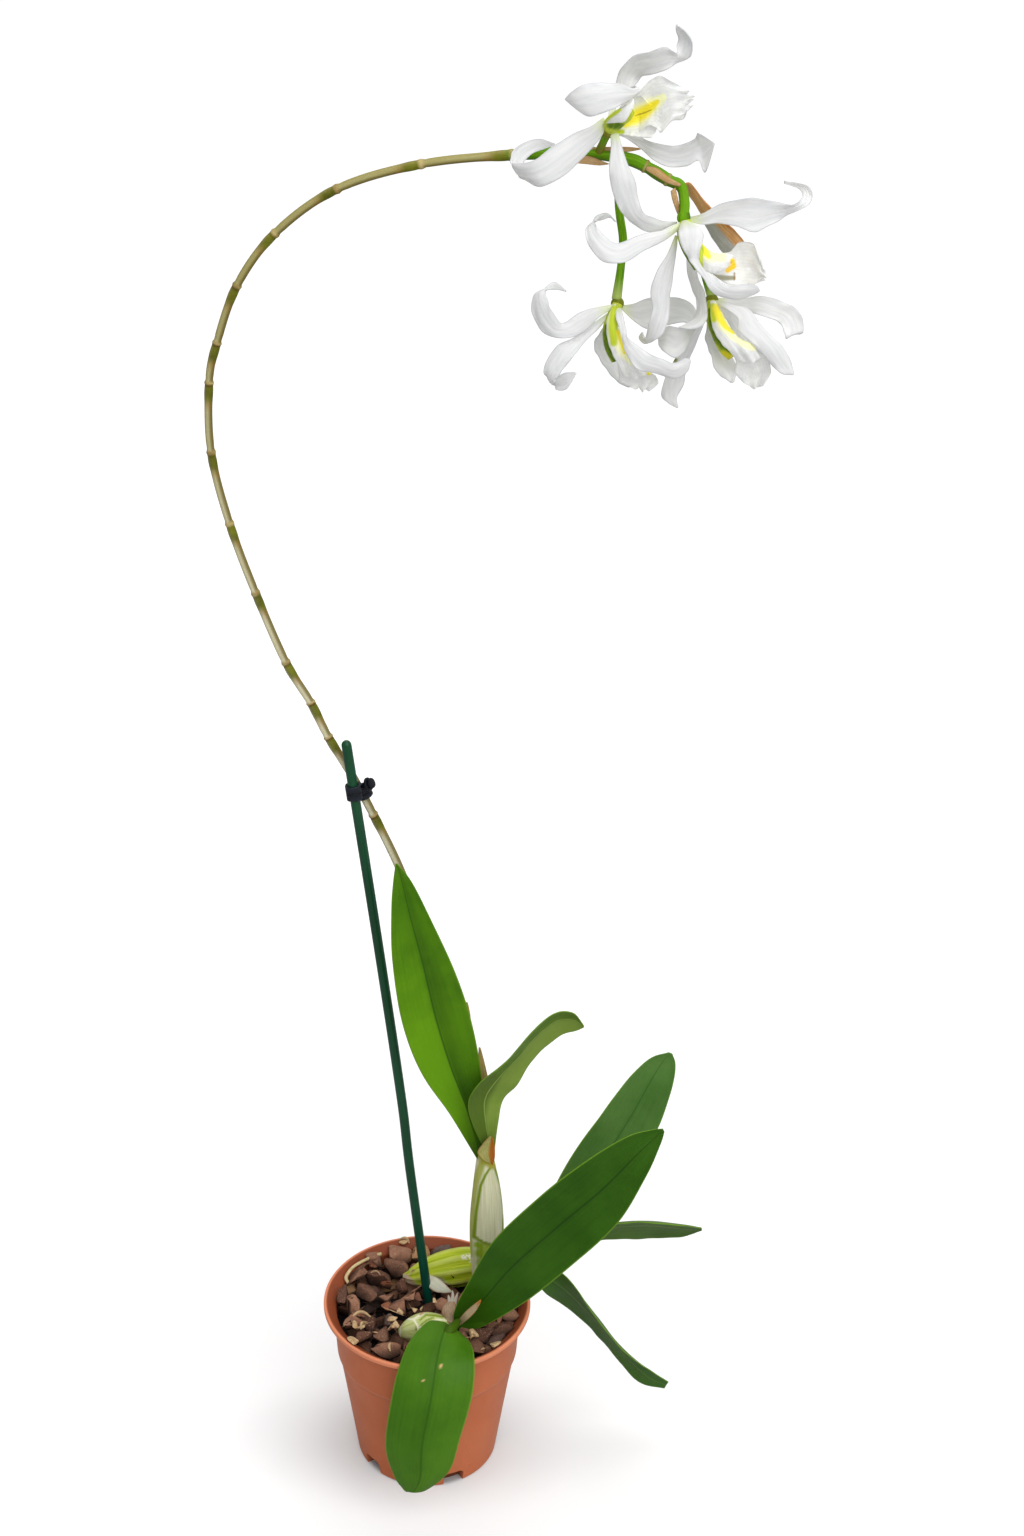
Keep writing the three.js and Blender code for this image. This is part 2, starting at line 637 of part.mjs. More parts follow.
const FLOWER_4 = {
  left_sepal: [
    [132.5, 679.5, 26, 133.5, 679.5, 28],
    [131.5, 674.5, 26, 133.5, 673, 32],
    [131.5, 666, 24, 137.5, 664.5, 32],
    [133.5, 657.5, 20, 141.5, 657.5, 26],
    [137, 650, 14, 145.5, 653.5, 20],
    [143, 644.5, 10, 146.5, 649, 14],
    [145.5, 644, 8, 146, 644.5, 8],
  ],
  back_sepal: [
    [131.5, 682.5, 27, 133.5, 681.5, 27],
    [127, 671.5, 40, 130.5, 673, 40],
    [121.5, 663.5, 42, 127, 663.5, 42],
    [117.5, 656, 42, 124, 655, 42],
    [113, 646, 38, 122.5, 648, 38],
    [111.5, 638, 34, 122, 643, 34],
    [115, 634, 32, 119, 636.5, 32],
    [119.5, 631.5, 30, 120, 632, 30],
  ],
  right_sepal: [
    [133.5, 682, 23, 135, 683, 23],
    [139.5, 679, 12, 143, 681, 14],
    [145.5, 674.5, 8, 150, 679, 12],
    [146.5, 669, 6, 155.5, 673, 10],
    [152, 663.5, 4, 162, 666.5, 8],
    [157.5, 659, 4, 167.5, 661, 8],
    [164, 651.5, 6, 172, 654.5, 8],
    [168.5, 648, 6, 173.5, 650, 8],
    [173.5, 647.5, 8, 174, 648, 8],
  ],
  upper_petal: [
    [136, 684, 26, 136.5, 682.5, 26],
    [141, 684, 32, 142.5, 679.5, 32],
    [148.5, 684, 34, 149, 678, 34],
    [156, 685, 34, 154.5, 676.5, 32],
    [165, 683, 34, 162, 674, 30],
    [172, 679.5, 30, 166, 672, 26],
    [176, 674.5, 26, 168, 667.5, 22],
    [177, 668.5, 22, 169, 665, 22],
    [175, 667, 27, 170.5, 666, 29],
  ],
  inner_petal: [
    [134, 681, 27, 135, 682, 27],
    [138.5, 676.5, 36, 142.5, 679, 36],
    [142, 671.5, 38, 148, 673, 38],
    [146, 664.5, 38, 152, 666.5, 38],
    [153, 659, 34, 156, 663, 34],
    [157.5, 657.5, 30, 158.5, 658, 30],
  ],
  lip: [
    [132.5, 682.5, 21, 135, 682, 21, 0.3],
    [133, 675.5, 13, 138.5, 676.5, 14, 0.4],
    [135, 668.5, 9, 142.5, 670, 10, 0.4],
    [139.5, 662, 5, 148, 664.5, 8, 0.35],
    [144, 658, 4, 153, 662.5, 6, 0.3],
    [148.5, 654, 5, 157, 658, 8, 0.2],
  ],
  fan: [
    [142.5, 659.5, 4.5, 150.5, 663.5, 7, 0.3],
    [146, 654.5, 9, 155.5, 660, 11, 0.1],
    [146, 649, 12, 161, 655.5, 13, -0.05],
    [149, 645, 14, 162.5, 649.5, 15, -0.05],
    [152.5, 642.5, 15, 160.5, 644.5, 16, 0],
  ],
};

// Routes: [across, up, depth, radius]
const COLUMNS = [
  [
    [82.5, 760, 14, 2.5], [83.5, 762, 11, 3.7], [86, 764.5, 8, 3.9], [89.5, 767, 6, 3.5],
    [91.5, 769, 5, 2.6],
  ],
  [
    [118.5, 720, 12, 2.5], [119.5, 714.5, 9, 4.4], [122, 708.5, 7, 4.8], [125, 703, 5, 4.4],
    [127, 698, 4, 3.2],
  ],
  [
    [89, 681, 20, 2.5], [87.5, 675, 17, 3.5], [86, 668.5, 16, 3.6], [87, 661, 15, 3.3],
    [89.5, 654.5, 14, 2.5],
  ],
  [
    [133, 682.5, 24, 2.5], [134, 675, 20, 3.4], [137, 668, 18, 3.6], [140.5, 661, 15, 3.4],
    [144, 656.5, 12, 2.5],
  ],
];
const HUBS = [[82, 759.5, 14], [118, 721, 12], [89, 681.5, 22], [133, 683, 25]];
const PEDICELS = {
  pedicel_1: [[78, 750.5, 25, 2], [80, 755, 18, 1.8], [82, 759.5, 14, 2]],
  pedicel_3: [
    [86.5, 747, 26, 1.8], [88, 726, 27, 1.9], [90.5, 711, 26, 2], [90, 698.5, 24, 1.9],
    [88.5, 683.5, 22, 2.4],
  ],
  pedicel_4: [[118, 727, 17, 1.6], [122, 713, 30, 1.6], [128.5, 696, 32, 1.7], [133, 684, 25, 2.2]],
};
const BULBS = {
  bulb_upright: [
    [32.5, 208, 5, 3.8], [32.8, 197, 6, 5.6], [33.6, 180, 7, 8], [33.9, 161, 8, 9.6],
    [34.1, 143, 9, 9.7], [34.6, 122, 11, 8.8], [35.2, 102, 12, 7.2], [35.5, 86, 13, 5],
  ],
  bulb_lying: [
    [-14, 119, 27, 2], [-8, 119, 27, 6], [5, 123, 29, 10], [19, 126, 31, 11.5],
    [35, 129, 29, 9.5], [47, 133, 26, 7], [56, 136, 22, 4],
  ],
  bulb_front: [
    [-16, 78, -21, 3], [-10, 80, -21, 7], [-1.5, 82, -21, 8.8], [7.5, 82, -21, 7.5], [14, 80, -21, 4],
    [17, 80, -21, 2.5],
  ],
};
const ROOT = [
  [-45.5, 106, 20, 1],
  [-45.5, 113.5, 20, 1],
  [-46.8, 118.6, 22, 1],
  [-43.2, 125.1, 28, 0.9],
  [-38, 129.3, 33, 0.9],
  [-32.8, 132.2, 38, 0.9],
  [-26.4, 135.3, 42, 1],
];
// The stake leans, and bends a little: [across, up, depth]
const STAKE = [
  [-41.6, 458, 14], [-25.7, 335, 13], [-14.1, 240, 12], [-8.9, 187, 12], [1.2, 99, 11],
];
const CLIP = {
  stake: [-37.8, 429, 14],
  spike: [-33, 429, 20],
  knob: [-31, 433, 14],
  radius: 4.4,
  height: 8,
};

// The flower spike: [across, up, depth, and 1 where a node rings it]
const SPIKE = [
  [33, 208, 6, 0],
  [28, 256, 10, 0],
  [22.5, 279, 14, 1],
  [16.5, 303, 17, 1],
  [8.5, 328, 19, 0],
  [-6, 362, 21, 1],
  [-17, 391, 22, 0],
  [-28, 416, 21, 1],
  [-38, 437, 20, 0],
  [-50.5, 460, 22, 1],
  [-59, 479, 25, 1],
  [-71, 501, 28, 1],
  [-85, 538, 33, 1],
  [-96.5, 574, 38, 1],
  [-104, 610, 41, 1],
  [-103.5, 644, 42, 1],
  [-99, 663, 42, 1],
  [-88.5, 690, 40, 1],
  [-70, 714, 37, 1],
  [-41, 734, 33, 1],
  [-2.5, 745, 29, 1],
  [38.5, 749, 26, 1],
  [70.5, 750, 26, 0],
  [81.5, 749, 26, 0],
  [92.5, 747, 25, 0],
  [99.5, 744, 24, 1],
  [110, 738, 22, 1],
  [116, 735, 20, 0],
  [118, 728, 16, 0],
  [118, 722, 12, 0],
];
const RACHIS_START = 21;
const LAST_STALK_START = 27;

// Pieces: each is taken clear of all that were placed before it

const part = new THREE.Group();
part.name = "potted_schomburgkia_orchid";
const taken = [];

const boxesMeet = (a, b) => {
  const p = a.boundingBox();
  const q = b.boundingBox();
  return [0, 1, 2].every((i) => p.min[i] <= q.max[i] && q.min[i] <= p.max[i]);
};

// make(grow) gives the piece made larger all round by grow
const place = (name, colour, roughness, make) => {
  const body = make(0);
  const neighbours = taken.filter((room) => boxesMeet(room, body));
  const clear = clearOf(body, neighbours);
  taken.push(make(GAP));
  const { vertProperties, triVerts } = clear.getMesh();
  const geometry = new THREE.BufferGeometry();
  geometry.setAttribute("position", new THREE.BufferAttribute(new Float32Array(vertProperties), 3));
  geometry.setIndex(new THREE.BufferAttribute(new Uint32Array(triVerts), 1));
  geometry.computeVertexNormals();
  const mesh = new THREE.Mesh(geometry, new THREE.MeshStandardMaterial({ color: colour, roughness }));
  mesh.name = name;
  part.add(mesh);
};

// The pot: a solid floor, a tapering wall, a shoulder, a collar and a flanged rim
const shoulderTop = POT_HEIGHT - RIM_DEPTH - COLLAR_HEIGHT;
const shoulderFoot = shoulderTop - SHOULDER_HEIGHT;

const potBody = () => {
  const outside = [
    [BASE_RADIUS - 0.8, 0],
    [BASE_RADIUS, 0.8],
    [SHOULDER_RADIUS - 0.6, shoulderFoot],
    [SHOULDER_RADIUS, shoulderFoot + 0.8],
    [COLLAR_FOOT_RADIUS, shoulderTop],
    [COLLAR_TOP_RADIUS, POT_HEIGHT - RIM_DEPTH],
    [RIM_RADIUS - 0.6, POT_HEIGHT - RIM_DEPTH],
    [RIM_RADIUS, POT_HEIGHT - RIM_DEPTH + 0.6],
    [RIM_RADIUS, POT_HEIGHT - 0.6],
    [RIM_RADIUS - 0.6, POT_HEIGHT],
    [OPENING_RADIUS, POT_HEIGHT],
  ];
  const inside = [
    [COLLAR_TOP_RADIUS - POT_WALL, POT_HEIGHT - RIM_DEPTH - 0.5],
    [COLLAR_FOOT_RADIUS - POT_WALL, shoulderTop - 0.5],
    [SHOULDER_RADIUS - POT_WALL, shoulderFoot],
    [BASE_RADIUS - POT_WALL + 1, FLOOR_HEIGHT],
  ];
  const wall = revolve([[0, 0], ...outside, ...inside, [0, FLOOR_HEIGHT]], ROUND_SIDES);
  return DRAIN_ANGLES.reduce((pot, angle) => pot.subtract(drainNotch(angle)), wall);
};

// A round-topped slot through the foot of the wall, angle counted from the front
const drainNotch = (degrees) => {
  const half = DRAIN_WIDTH / 2;
  const outline = [
    [-half, -1],
    [half, -1],
    [half, DRAIN_HEIGHT - 2],
    [half - 2, DRAIN_HEIGHT],
    [2 - half, DRAIN_HEIGHT],
    [-half, DRAIN_HEIGHT - 2],
  ];
  const angle = THREE.MathUtils.degToRad(degrees);
  const outward = new THREE.Vector3(Math.sin(angle), -Math.cos(angle), 0);
  const sideways = new THREE.Vector3(Math.cos(angle), Math.sin(angle), 0);
  const ring = (distance) =>
    outline.map(([across, up]) =>
      new THREE.Vector3(0, 0, up).addScaledVector(outward, distance).addScaledVector(sideways, across),
    );
  return ringSolid([ring(BASE_RADIUS - 5), ring(BASE_RADIUS + 4)]);
};

// The stake has a blunt point on top and runs on straight down into the medium
const stakeBody = (grow) => {
  const route = STAKE.map(([across, up, depth]) => at(across, up, depth));
  const last = route[route.length - 1];
  const down = route[1].clone().sub(route[0]).normalize();
  const foot = last.clone().sub(route[route.length - 2]).normalize();
  const places = [
    route[0],
    route[0].clone().addScaledVector(down, 0.8),
    route[0].clone().addScaledVector(down, 2.2),
    ...route.slice(1, -1),
    last.clone().addScaledVector(foot, STAKE_SUNK),
  ];
  const radii = places.map((_, i) => [0.9, 2][i] ?? STAKE_RADIUS);
  return stalk(places, radii, 12, grow);
};

// The spike in its papery sheaths: each node has a thin proud ring over a waist
const spikeBody = (grow) => {
  const route = SPIKE.map(([across, up, depth]) => at(across, up, depth));
  const places = [];
  const radii = [];
  const add = (place, radius) => {
    places.push(curvePoint(route, place));
    radii.push(radius);
  };
  for (let i = 0; i < SPIKE.length; i += 1) {
    const green = i >= RACHIS_START;
    let radius = green ? RACHIS_RADIUS : SHEATH_RADIUS;
    if (i >= LAST_STALK_START) radius = 2.4;
    const length = i + 1 < SPIKE.length ? route[i].distanceTo(route[i + 1]) : 1;
    if (SPIKE[i][3] === 1) {
      const before = route[i].distanceTo(route[i - 1]);
      add(i - 1.2 / before, radius + 0.2);
      add(i, radius + 0.8);
      add(i + 1.2 / length, radius - 0.1);
    } else {
      add(i, radius);
    }
    if (i + 1 < SPIKE.length) add(i + 0.5, radius);
  }
  const hub = at(...HUBS[1]);
  return stalk(places, radii, 7, grow).add(ball(hub, HUB_RADIUS, grow));
};

const pedicelBody = (rows, hub) => (grow) =>
  drawnStalk(rows, 8, 2, grow).add(ball(at(...hub), HUB_RADIUS, grow));

// The clip: one collar round the stake, one round the spike, and a knob to press
const clipBody = (grow) => {
  const collar = (centre, radius, height) => {
    const along = at(...STAKE[1]).sub(at(...STAKE[0])).normalize();
    const half = height / 2 + grow;
    const places = [
      at(...centre).addScaledVector(along, -half),
      at(...centre).addScaledVector(along, half),
    ];
    return stalk(places, [radius + grow, radius + grow], 10);
  };
  return collar(CLIP.stake, CLIP.radius, CLIP.height)
    .add(collar(CLIP.spike, CLIP.radius, CLIP.height))
    .add(ball(at(...CLIP.knob), 3.6, grow));
};

// The potting medium: a low dome with bark chunks sunk in its top
const mediumBody = () => {
  const random = seeded(11);
  const foot = COLLAR_FOOT_RADIUS - POT_WALL - GAP;
  const top = COLLAR_TOP_RADIUS - POT_WALL - GAP;
  let body = revolve(
    [
      [0, FLOOR_HEIGHT + GAP],
      [BASE_RADIUS - POT_WALL + 0.5, FLOOR_HEIGHT + GAP],
      [SHOULDER_RADIUS - POT_WALL - GAP, shoulderFoot],
      [foot, shoulderTop - 0.3],
      [top - 0.5, MEDIUM_TOP - 2],
      [0, MEDIUM_TOP],
    ],
    ROUND_SIDES,
  );
  for (let i = 0; i < CHUNK_COUNT; i += 1) {
    const distance = (top - 5) * Math.sqrt((i + 0.5) / CHUNK_COUNT);
    const angle = 2.39996 * i + 0.5 * random();
    const centre = new THREE.Vector3(
      distance * Math.cos(angle),
      distance * Math.sin(angle),
      MEDIUM_TOP - 1 + 3 * random(),
    );
    body = body.add(chunk(centre, random));
  }
  const rim = POT_HEIGHT - RIM_DEPTH;
  const room = [
    [0, 0],
    [foot, 0],
    [foot, shoulderTop - 0.3],
    [top, rim - 0.5],
    [top, POT_HEIGHT],
    [0, POT_HEIGHT],
  ];
  return body.intersect(revolve(room, ROUND_SIDES));
};

// One bark chunk: a five-sided lump with a smaller top, turned any way
const chunk = (centre, random) => {
  const size = [0.52, 0.42, 0.42].map((share) => CHUNK_SIZE * share * (0.8 + 0.4 * random()));
  const turn = new THREE.Euler(0.7 * random() - 0.35, 0.7 * random() - 0.35, 6.28 * random());
  const ring = (height, share) =>
    [0, 1, 2, 3, 4].map((corner) => {
      const angle = (2 * Math.PI * (corner + 0.5 * random())) / 5;
      return new THREE.Vector3(
        size[0] * share * Math.cos(angle),
        size[1] * share * Math.sin(angle),
        size[2] * height,
      )
        .applyEuler(turn)
        .add(centre);
    });
  return ringSolid([ring(-0.6, 1), ring(1, 0.6)]);
};

// A lip: the lobe that wraps the column, and the fan that opens out of it
const lipBody = (flower, grow) => blade(flower.lip, LIP, grow).add(blade(flower.fan, FAN, grow));

// Looks of the blades
const LEAF = { thickness: LEAF_THICKNESS, bow: 0.1, columns: 4, wave: 0.3 };
const TEPAL = { thickness: TEPAL_THICKNESS, bow: 0.1, wave: 0.7 };
const LIP = { thickness: TEPAL_THICKNESS, columns: 4, frill: 0.8, reach: 2.5 };
const FAN = { thickness: TEPAL_THICKNESS, columns: 6, frill: 1.1, reach: 2.5 };
const BRACT = { thickness: 0.8, bow: 0.12, spans: 1 };

// The pieces, in the order in which they take their room

place("pot", 0xb9653f, 0.5, () => potBody());
place("support_stake", 0x1f5a40, 0.45, stakeBody);
for (const [name, rows] of Object.entries(BULBS)) {
  place(name, 0x8b9a3c, 0.5, (grow) => drawnStalk(rows, 14, 2, grow));
}
place("exposed_root", 0xd8cfae, 0.7, (grow) => drawnStalk(ROOT, 6, 2, grow));
place("flower_spike", 0xd6d0ac, 0.6, spikeBody);
place("stem_clip", 0x1a2028, 0.4, clipBody);
for (const [name, rows] of Object.entries(LEAVES)) {
  place(name, 0x3f7a22, 0.4, (grow) => blade(rows, LEAF, grow));
}
place("pedicel_1", 0x6aa51a, 0.45, pedicelBody(PEDICELS.pedicel_1, HUBS[0]));
place("pedicel_3", 0x6aa51a, 0.45, pedicelBody(PEDICELS.pedicel_3, HUBS[2]));
place("pedicel_4", 0x6aa51a, 0.45, pedicelBody(PEDICELS.pedicel_4, HUBS[3]));

const flowers = [FLOWER_1, FLOWER_2, FLOWER_3, FLOWER_4];
flowers.forEach((flower, i) => {
  const name = `flower_${i + 1}`;
  place(`${name}_column`, 0x8fae2a, 0.45, (grow) => drawnStalk(COLUMNS[i], 8, 2, grow));
  place(`${name}_lip`, 0xf3efc8, 0.5, (grow) => lipBody(flower, grow));
  for (const [tepal, rows] of Object.entries(flower)) {
    if (tepal === "lip" || tepal === "fan") continue;
    place(`${name}_${tepal}`, 0xf6f6f2, 0.5, (grow) => blade(rows, TEPAL, grow));
  }
});
for (const [name, rows] of Object.entries(BRACTS)) {
  place(name, 0xc98a4e, 0.7, (grow) => blade(rows, BRACT, grow));
}
place("growing_medium", 0x5a3526, 0.9, () => mediumBody());

export default part;
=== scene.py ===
# %% [markdown]
# # Potted schomburgkia orchid
# An orchid with white flowers at the end of a long arching spike, in a plastic pot of bark.
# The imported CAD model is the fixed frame, and every CAD node is replaced by a finer piece on the
# same outline. Sizes are in millimetres until a mesh is made. A place on the drawing board is
# [across, up, depth]: the board stands upright through the pot's axis and is seen from EYE, where
# the photograph's camera stood. What is drawn there lines up with the photograph at any depth.

# %% Frame
import math

import bmesh
import bpy
import numpy as np
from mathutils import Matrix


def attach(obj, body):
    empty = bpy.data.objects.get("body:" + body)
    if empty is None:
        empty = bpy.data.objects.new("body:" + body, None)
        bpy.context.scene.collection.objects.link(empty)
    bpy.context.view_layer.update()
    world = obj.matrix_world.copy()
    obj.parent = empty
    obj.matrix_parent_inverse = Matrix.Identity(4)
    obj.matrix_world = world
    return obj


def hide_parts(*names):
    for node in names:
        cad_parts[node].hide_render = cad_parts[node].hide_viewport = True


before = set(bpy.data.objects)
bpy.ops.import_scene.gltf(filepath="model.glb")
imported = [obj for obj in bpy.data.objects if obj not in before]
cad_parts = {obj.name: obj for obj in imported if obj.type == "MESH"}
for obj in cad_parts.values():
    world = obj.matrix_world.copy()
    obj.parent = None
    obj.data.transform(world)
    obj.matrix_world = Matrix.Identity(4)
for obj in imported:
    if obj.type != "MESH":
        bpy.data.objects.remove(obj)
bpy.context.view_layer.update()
MM = 0.001
EYE = np.array([0.0, -997.0, 901.0])
print("CAD nodes:", len(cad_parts))

# %% [markdown]
# ## Places and curves
# Whole arrays of points go through each formula at once, which is quick and short to write. A
# Catmull-Rom curve is used because it passes through the points that are drawn.


# %% Places
def unit(vectors):
    """Each vector divided by its length."""
    return vectors / np.maximum(np.linalg.norm(vectors, axis=-1, keepdims=True), 1e-9)


def ease(values, low, high):
    """0 below low, 1 above high, and t * t * (3 - 2 * t) between them."""
    t = np.clip((values - low) / (high - low), 0, 1)
    return t * t * (3 - 2 * t)


def on_board(rows):
    """Places of rows of [across, up, depth]: EYE plus the way to the board, times 1 + depth / 997."""
    rows = np.asarray(rows, float)
    board = np.stack([rows[:, 0], 0 * rows[:, 0], rows[:, 1]], 1)
    return EYE + (board - EYE) * (1 + rows[:, 2:3] / -EYE[1])


def shown_at(points):
    """Where places show on the board: the way from EYE, stretched until it meets y = 0."""
    way = points - EYE
    hit = EYE + way * (-EYE[1] / way[:, 1:2])
    return hit[:, 0], hit[:, 2]


def smooth(points, spans):
    """A Catmull-Rom curve through rows of values, with spans steps between two of them."""
    points = np.asarray(points, float)
    padded = np.vstack([2 * points[0] - points[1], points, 2 * points[-1] - points[-2]])
    place = np.linspace(0, len(points) - 1, (len(points) - 1) * spans + 1)
    i = np.minimum(place.astype(int), len(points) - 2)
    t = (place - i)[:, None]
    a, b, c, d = padded[i], padded[i + 1], padded[i + 2], padded[i + 3]
    return 0.5 * (
        2 * b + (c - a) * t + (2 * a - 5 * b + 4 * c - d) * t**2 + (3 * b - a - 3 * c + d) * t**3
    )


def length_along(route):
    """The distance from the first point to each point, summed over the steps."""
    steps = np.linalg.norm(np.diff(route, axis=0), axis=1)
    return np.concatenate([[0], np.cumsum(steps)])


def painted(points, strokes):
    """How deep places lie in drawn strokes, which are rows of [across, up, radius]: 1 near a
    stroke's middle line, and 0 past the radius, which changes evenly from row to row."""
    across, up = shown_at(points)
    value = np.zeros(len(points))
    for stroke in strokes:
        rows = np.array([*stroke, stroke[-1]], float)
        for a, b in zip(rows[:-1], rows[1:]):
            way = b[:2] - a[:2]
            t = (across - a[0]) * way[0] + (up - a[1]) * way[1]
            t = np.clip(t / max(way @ way, 1e-9), 0, 1)
            distance = np.hypot(across - a[0] - t * way[0], up - a[1] - t * way[1])
            radius = a[2] + (b[2] - a[2]) * t
            value = np.maximum(value, 1 - ease(distance / radius, 0.35, 1))
    return value


print("points on a curve through 3 places:", len(smooth([[0, 0], [1, 2], [2, 0]], 10)))

# %% [markdown]
# ## Bodies
# A body is a dictionary: its points, its faces as arrays of point numbers, and its marks, which
# are values at each point that the materials read. All bodies are rings of points joined side
# to side, and closed at both ends, so that each mesh has an inside and an outside.


# %% Bodies
def lofted(rings, marks=None, flat_ends=False):
    """Rings (ring, side, xyz) joined side to side; an end is closed to its middle, or, on a
    flat ring that runs out and back, by a strip between the two runs."""
    count, sides = rings.shape[:2]
    points = rings.reshape(-1, 3)
    ring, side = np.meshgrid(np.arange(count - 1), np.arange(sides), indexing="ij")
    a = (ring * sides + side).ravel()
    b = (ring * sides + (side + 1) % sides).ravel()
    faces = [np.stack([a, b, b + sides, a + sides], 1)]
    given = (marks or {}).items()
    marks = {name: np.broadcast_to(value, (count, sides)).ravel() for name, value in given}
    for start, turn in ((0, -1), ((count - 1) * sides, 1)):
        if flat_ends:
            k = np.arange(sides // 2 - 1)
            strip = np.stack([k, k + 1, (sides - 3 - k) % sides, sides - 2 - k], 1) + start
            faces.append(strip[:, ::turn])
            faces.append(np.array([[0, sides - 2, sides - 1]])[:, ::turn] + start)
        else:
            k = np.arange(sides)
            middle = np.full(sides, len(points))
            fan = np.stack([k + start, (k + 1) % sides + start, middle], 1)
            faces.append(fan[:, ::turn])
            points = np.vstack([points, rings[0 if start == 0 else -1].mean(0)])
            for name, value in marks.items():
                marks[name] = np.append(value, value[start : start + sides].mean())
    return turned_out({"points": points, "faces": faces, "marks": marks})


def turned_out(body):
    """The body with its faces outside out: turned over if its volume, the sum of the products
    a . (b x c) / 6 over the faces, is below 0."""
    volume = 0.0
    for group in body["faces"]:
        corners = body["points"][group]
        for k in range(1, group.shape[1] - 1):
            volume += np.einsum("ij,ij->", corners[:, 0], np.cross(corners[:, k], corners[:, k + 1]))
    if volume < 0:
        body["faces"] = [group[:, ::-1] for group in body["faces"]]
    return body


def joined(*bodies):
    """Several bodies as one; a mark that a body doesn't have is 0 there."""
    names = {name for body in bodies for name in body["marks"]}
    faces = []
    start = 0
    for body in bodies:
        faces += [group + start for group in body["faces"]]
        start += len(body["points"])
    marks = {
        name: np.concatenate([body["marks"].get(name, np.zeros(len(body["points"]))) for body in bodies])
        for name in names
    }
    return {"points": np.vstack([body["points"] for body in bodies]), "faces": faces, "marks": marks}


box = np.array([[[0, 0, z], [1, 0, z], [1, 1, z], [0, 1, z]] for z in (0, 1)], float)
print("faces of a small box:", sum(len(part) for part in lofted(box)["faces"]))

# %% [markdown]
# ## Tubes
# Stems, bulbs and the stake are tubes: rings along a smooth route. Blender's curves could make
# them too, but with rings of our own the radius and the marks change from ring to ring.


# %% Tubes
def carried_frames(route):
    """Two directions across a route at each point; the first is carried along without twist."""
    along = unit(np.gradient(route, axis=0))
    across = np.zeros_like(route)
    current = np.array([1.0, 0.0, 0.0])
    for i, way in enumerate(along):
        current = current - way * (current @ way)
        if np.linalg.norm(current) < 0.2:
            current = np.array([0.0, 1.0, 0.0])
        current = current / np.linalg.norm(current)
        across[i] = current
    return across, np.cross(along, across)


def tube(route, radii, sides, marks=None):
    """Rings round a route: the place plus the radius times cos * across + sin * up. radii is
    one value a ring, or one a ring and side."""
    across, up = carried_frames(route)
    angle = np.linspace(0, 2 * np.pi, sides, endpoint=False)
    radii = np.asarray(radii, float)
    radii = np.broadcast_to(radii if radii.ndim == 2 else radii[:, None], (len(route), sides))
    turn_x = np.cos(angle)[None, :, None]
    turn_y = np.sin(angle)[None, :, None]
    rings = route[:, None] + radii[..., None] * (turn_x * across[:, None] + turn_y * up[:, None])
    given = {
        "share": np.linspace(0, 1, len(route))[:, None],
        "side_x": np.cos(angle)[None, :],
        "side_y": np.sin(angle)[None, :],
        "distance": length_along(route)[:, None],
    }
    return lofted(rings, {**given, **(marks or {})})


def drawn_tube(rows, sides, spans):
    """A tube along rows of [across, up, depth, radius]."""
    rows = np.asarray(rows, float)
    route = smooth(on_board(rows), spans)
    return tube(route, smooth(rows[:, 3:4], spans)[:, 0], sides)


def ball(centre, radius, sides=20):
    """A sphere of rings from -88 to 88 degrees."""
    turn = np.radians(np.linspace(-88, 88, 13))
    route = np.asarray(centre, float) + radius * np.sin(turn)[:, None] * np.array([0, 0, 1.0])
    return tube(route, radius * np.cos(turn), sides)


def circle(way, start, sides):
    """Directions round a way: cos * across + sin * up, where across is way x start."""
    across = unit(np.cross(way, start))
    angle = np.linspace(0, 2 * np.pi, sides, endpoint=False)[:, None]
    return np.cos(angle) * across + np.sin(angle) * np.cross(across, way)


print("points of a ball:", len(ball((0, 0, 0), 1)["points"]))

# %% [markdown]
# ## Blades
# Leaves, petals and bracts are blades: a thin closed sheet between two drawn edges. A flat mesh
# with Solidify would do for a leaf, but here the rim is thinner than the middle, and the ruffles,
# folds and the midrib's groove are terms of one sum. Areas of another colour are strokes on the
# drawing board. They become marks at the points, so they stay in place from every side.


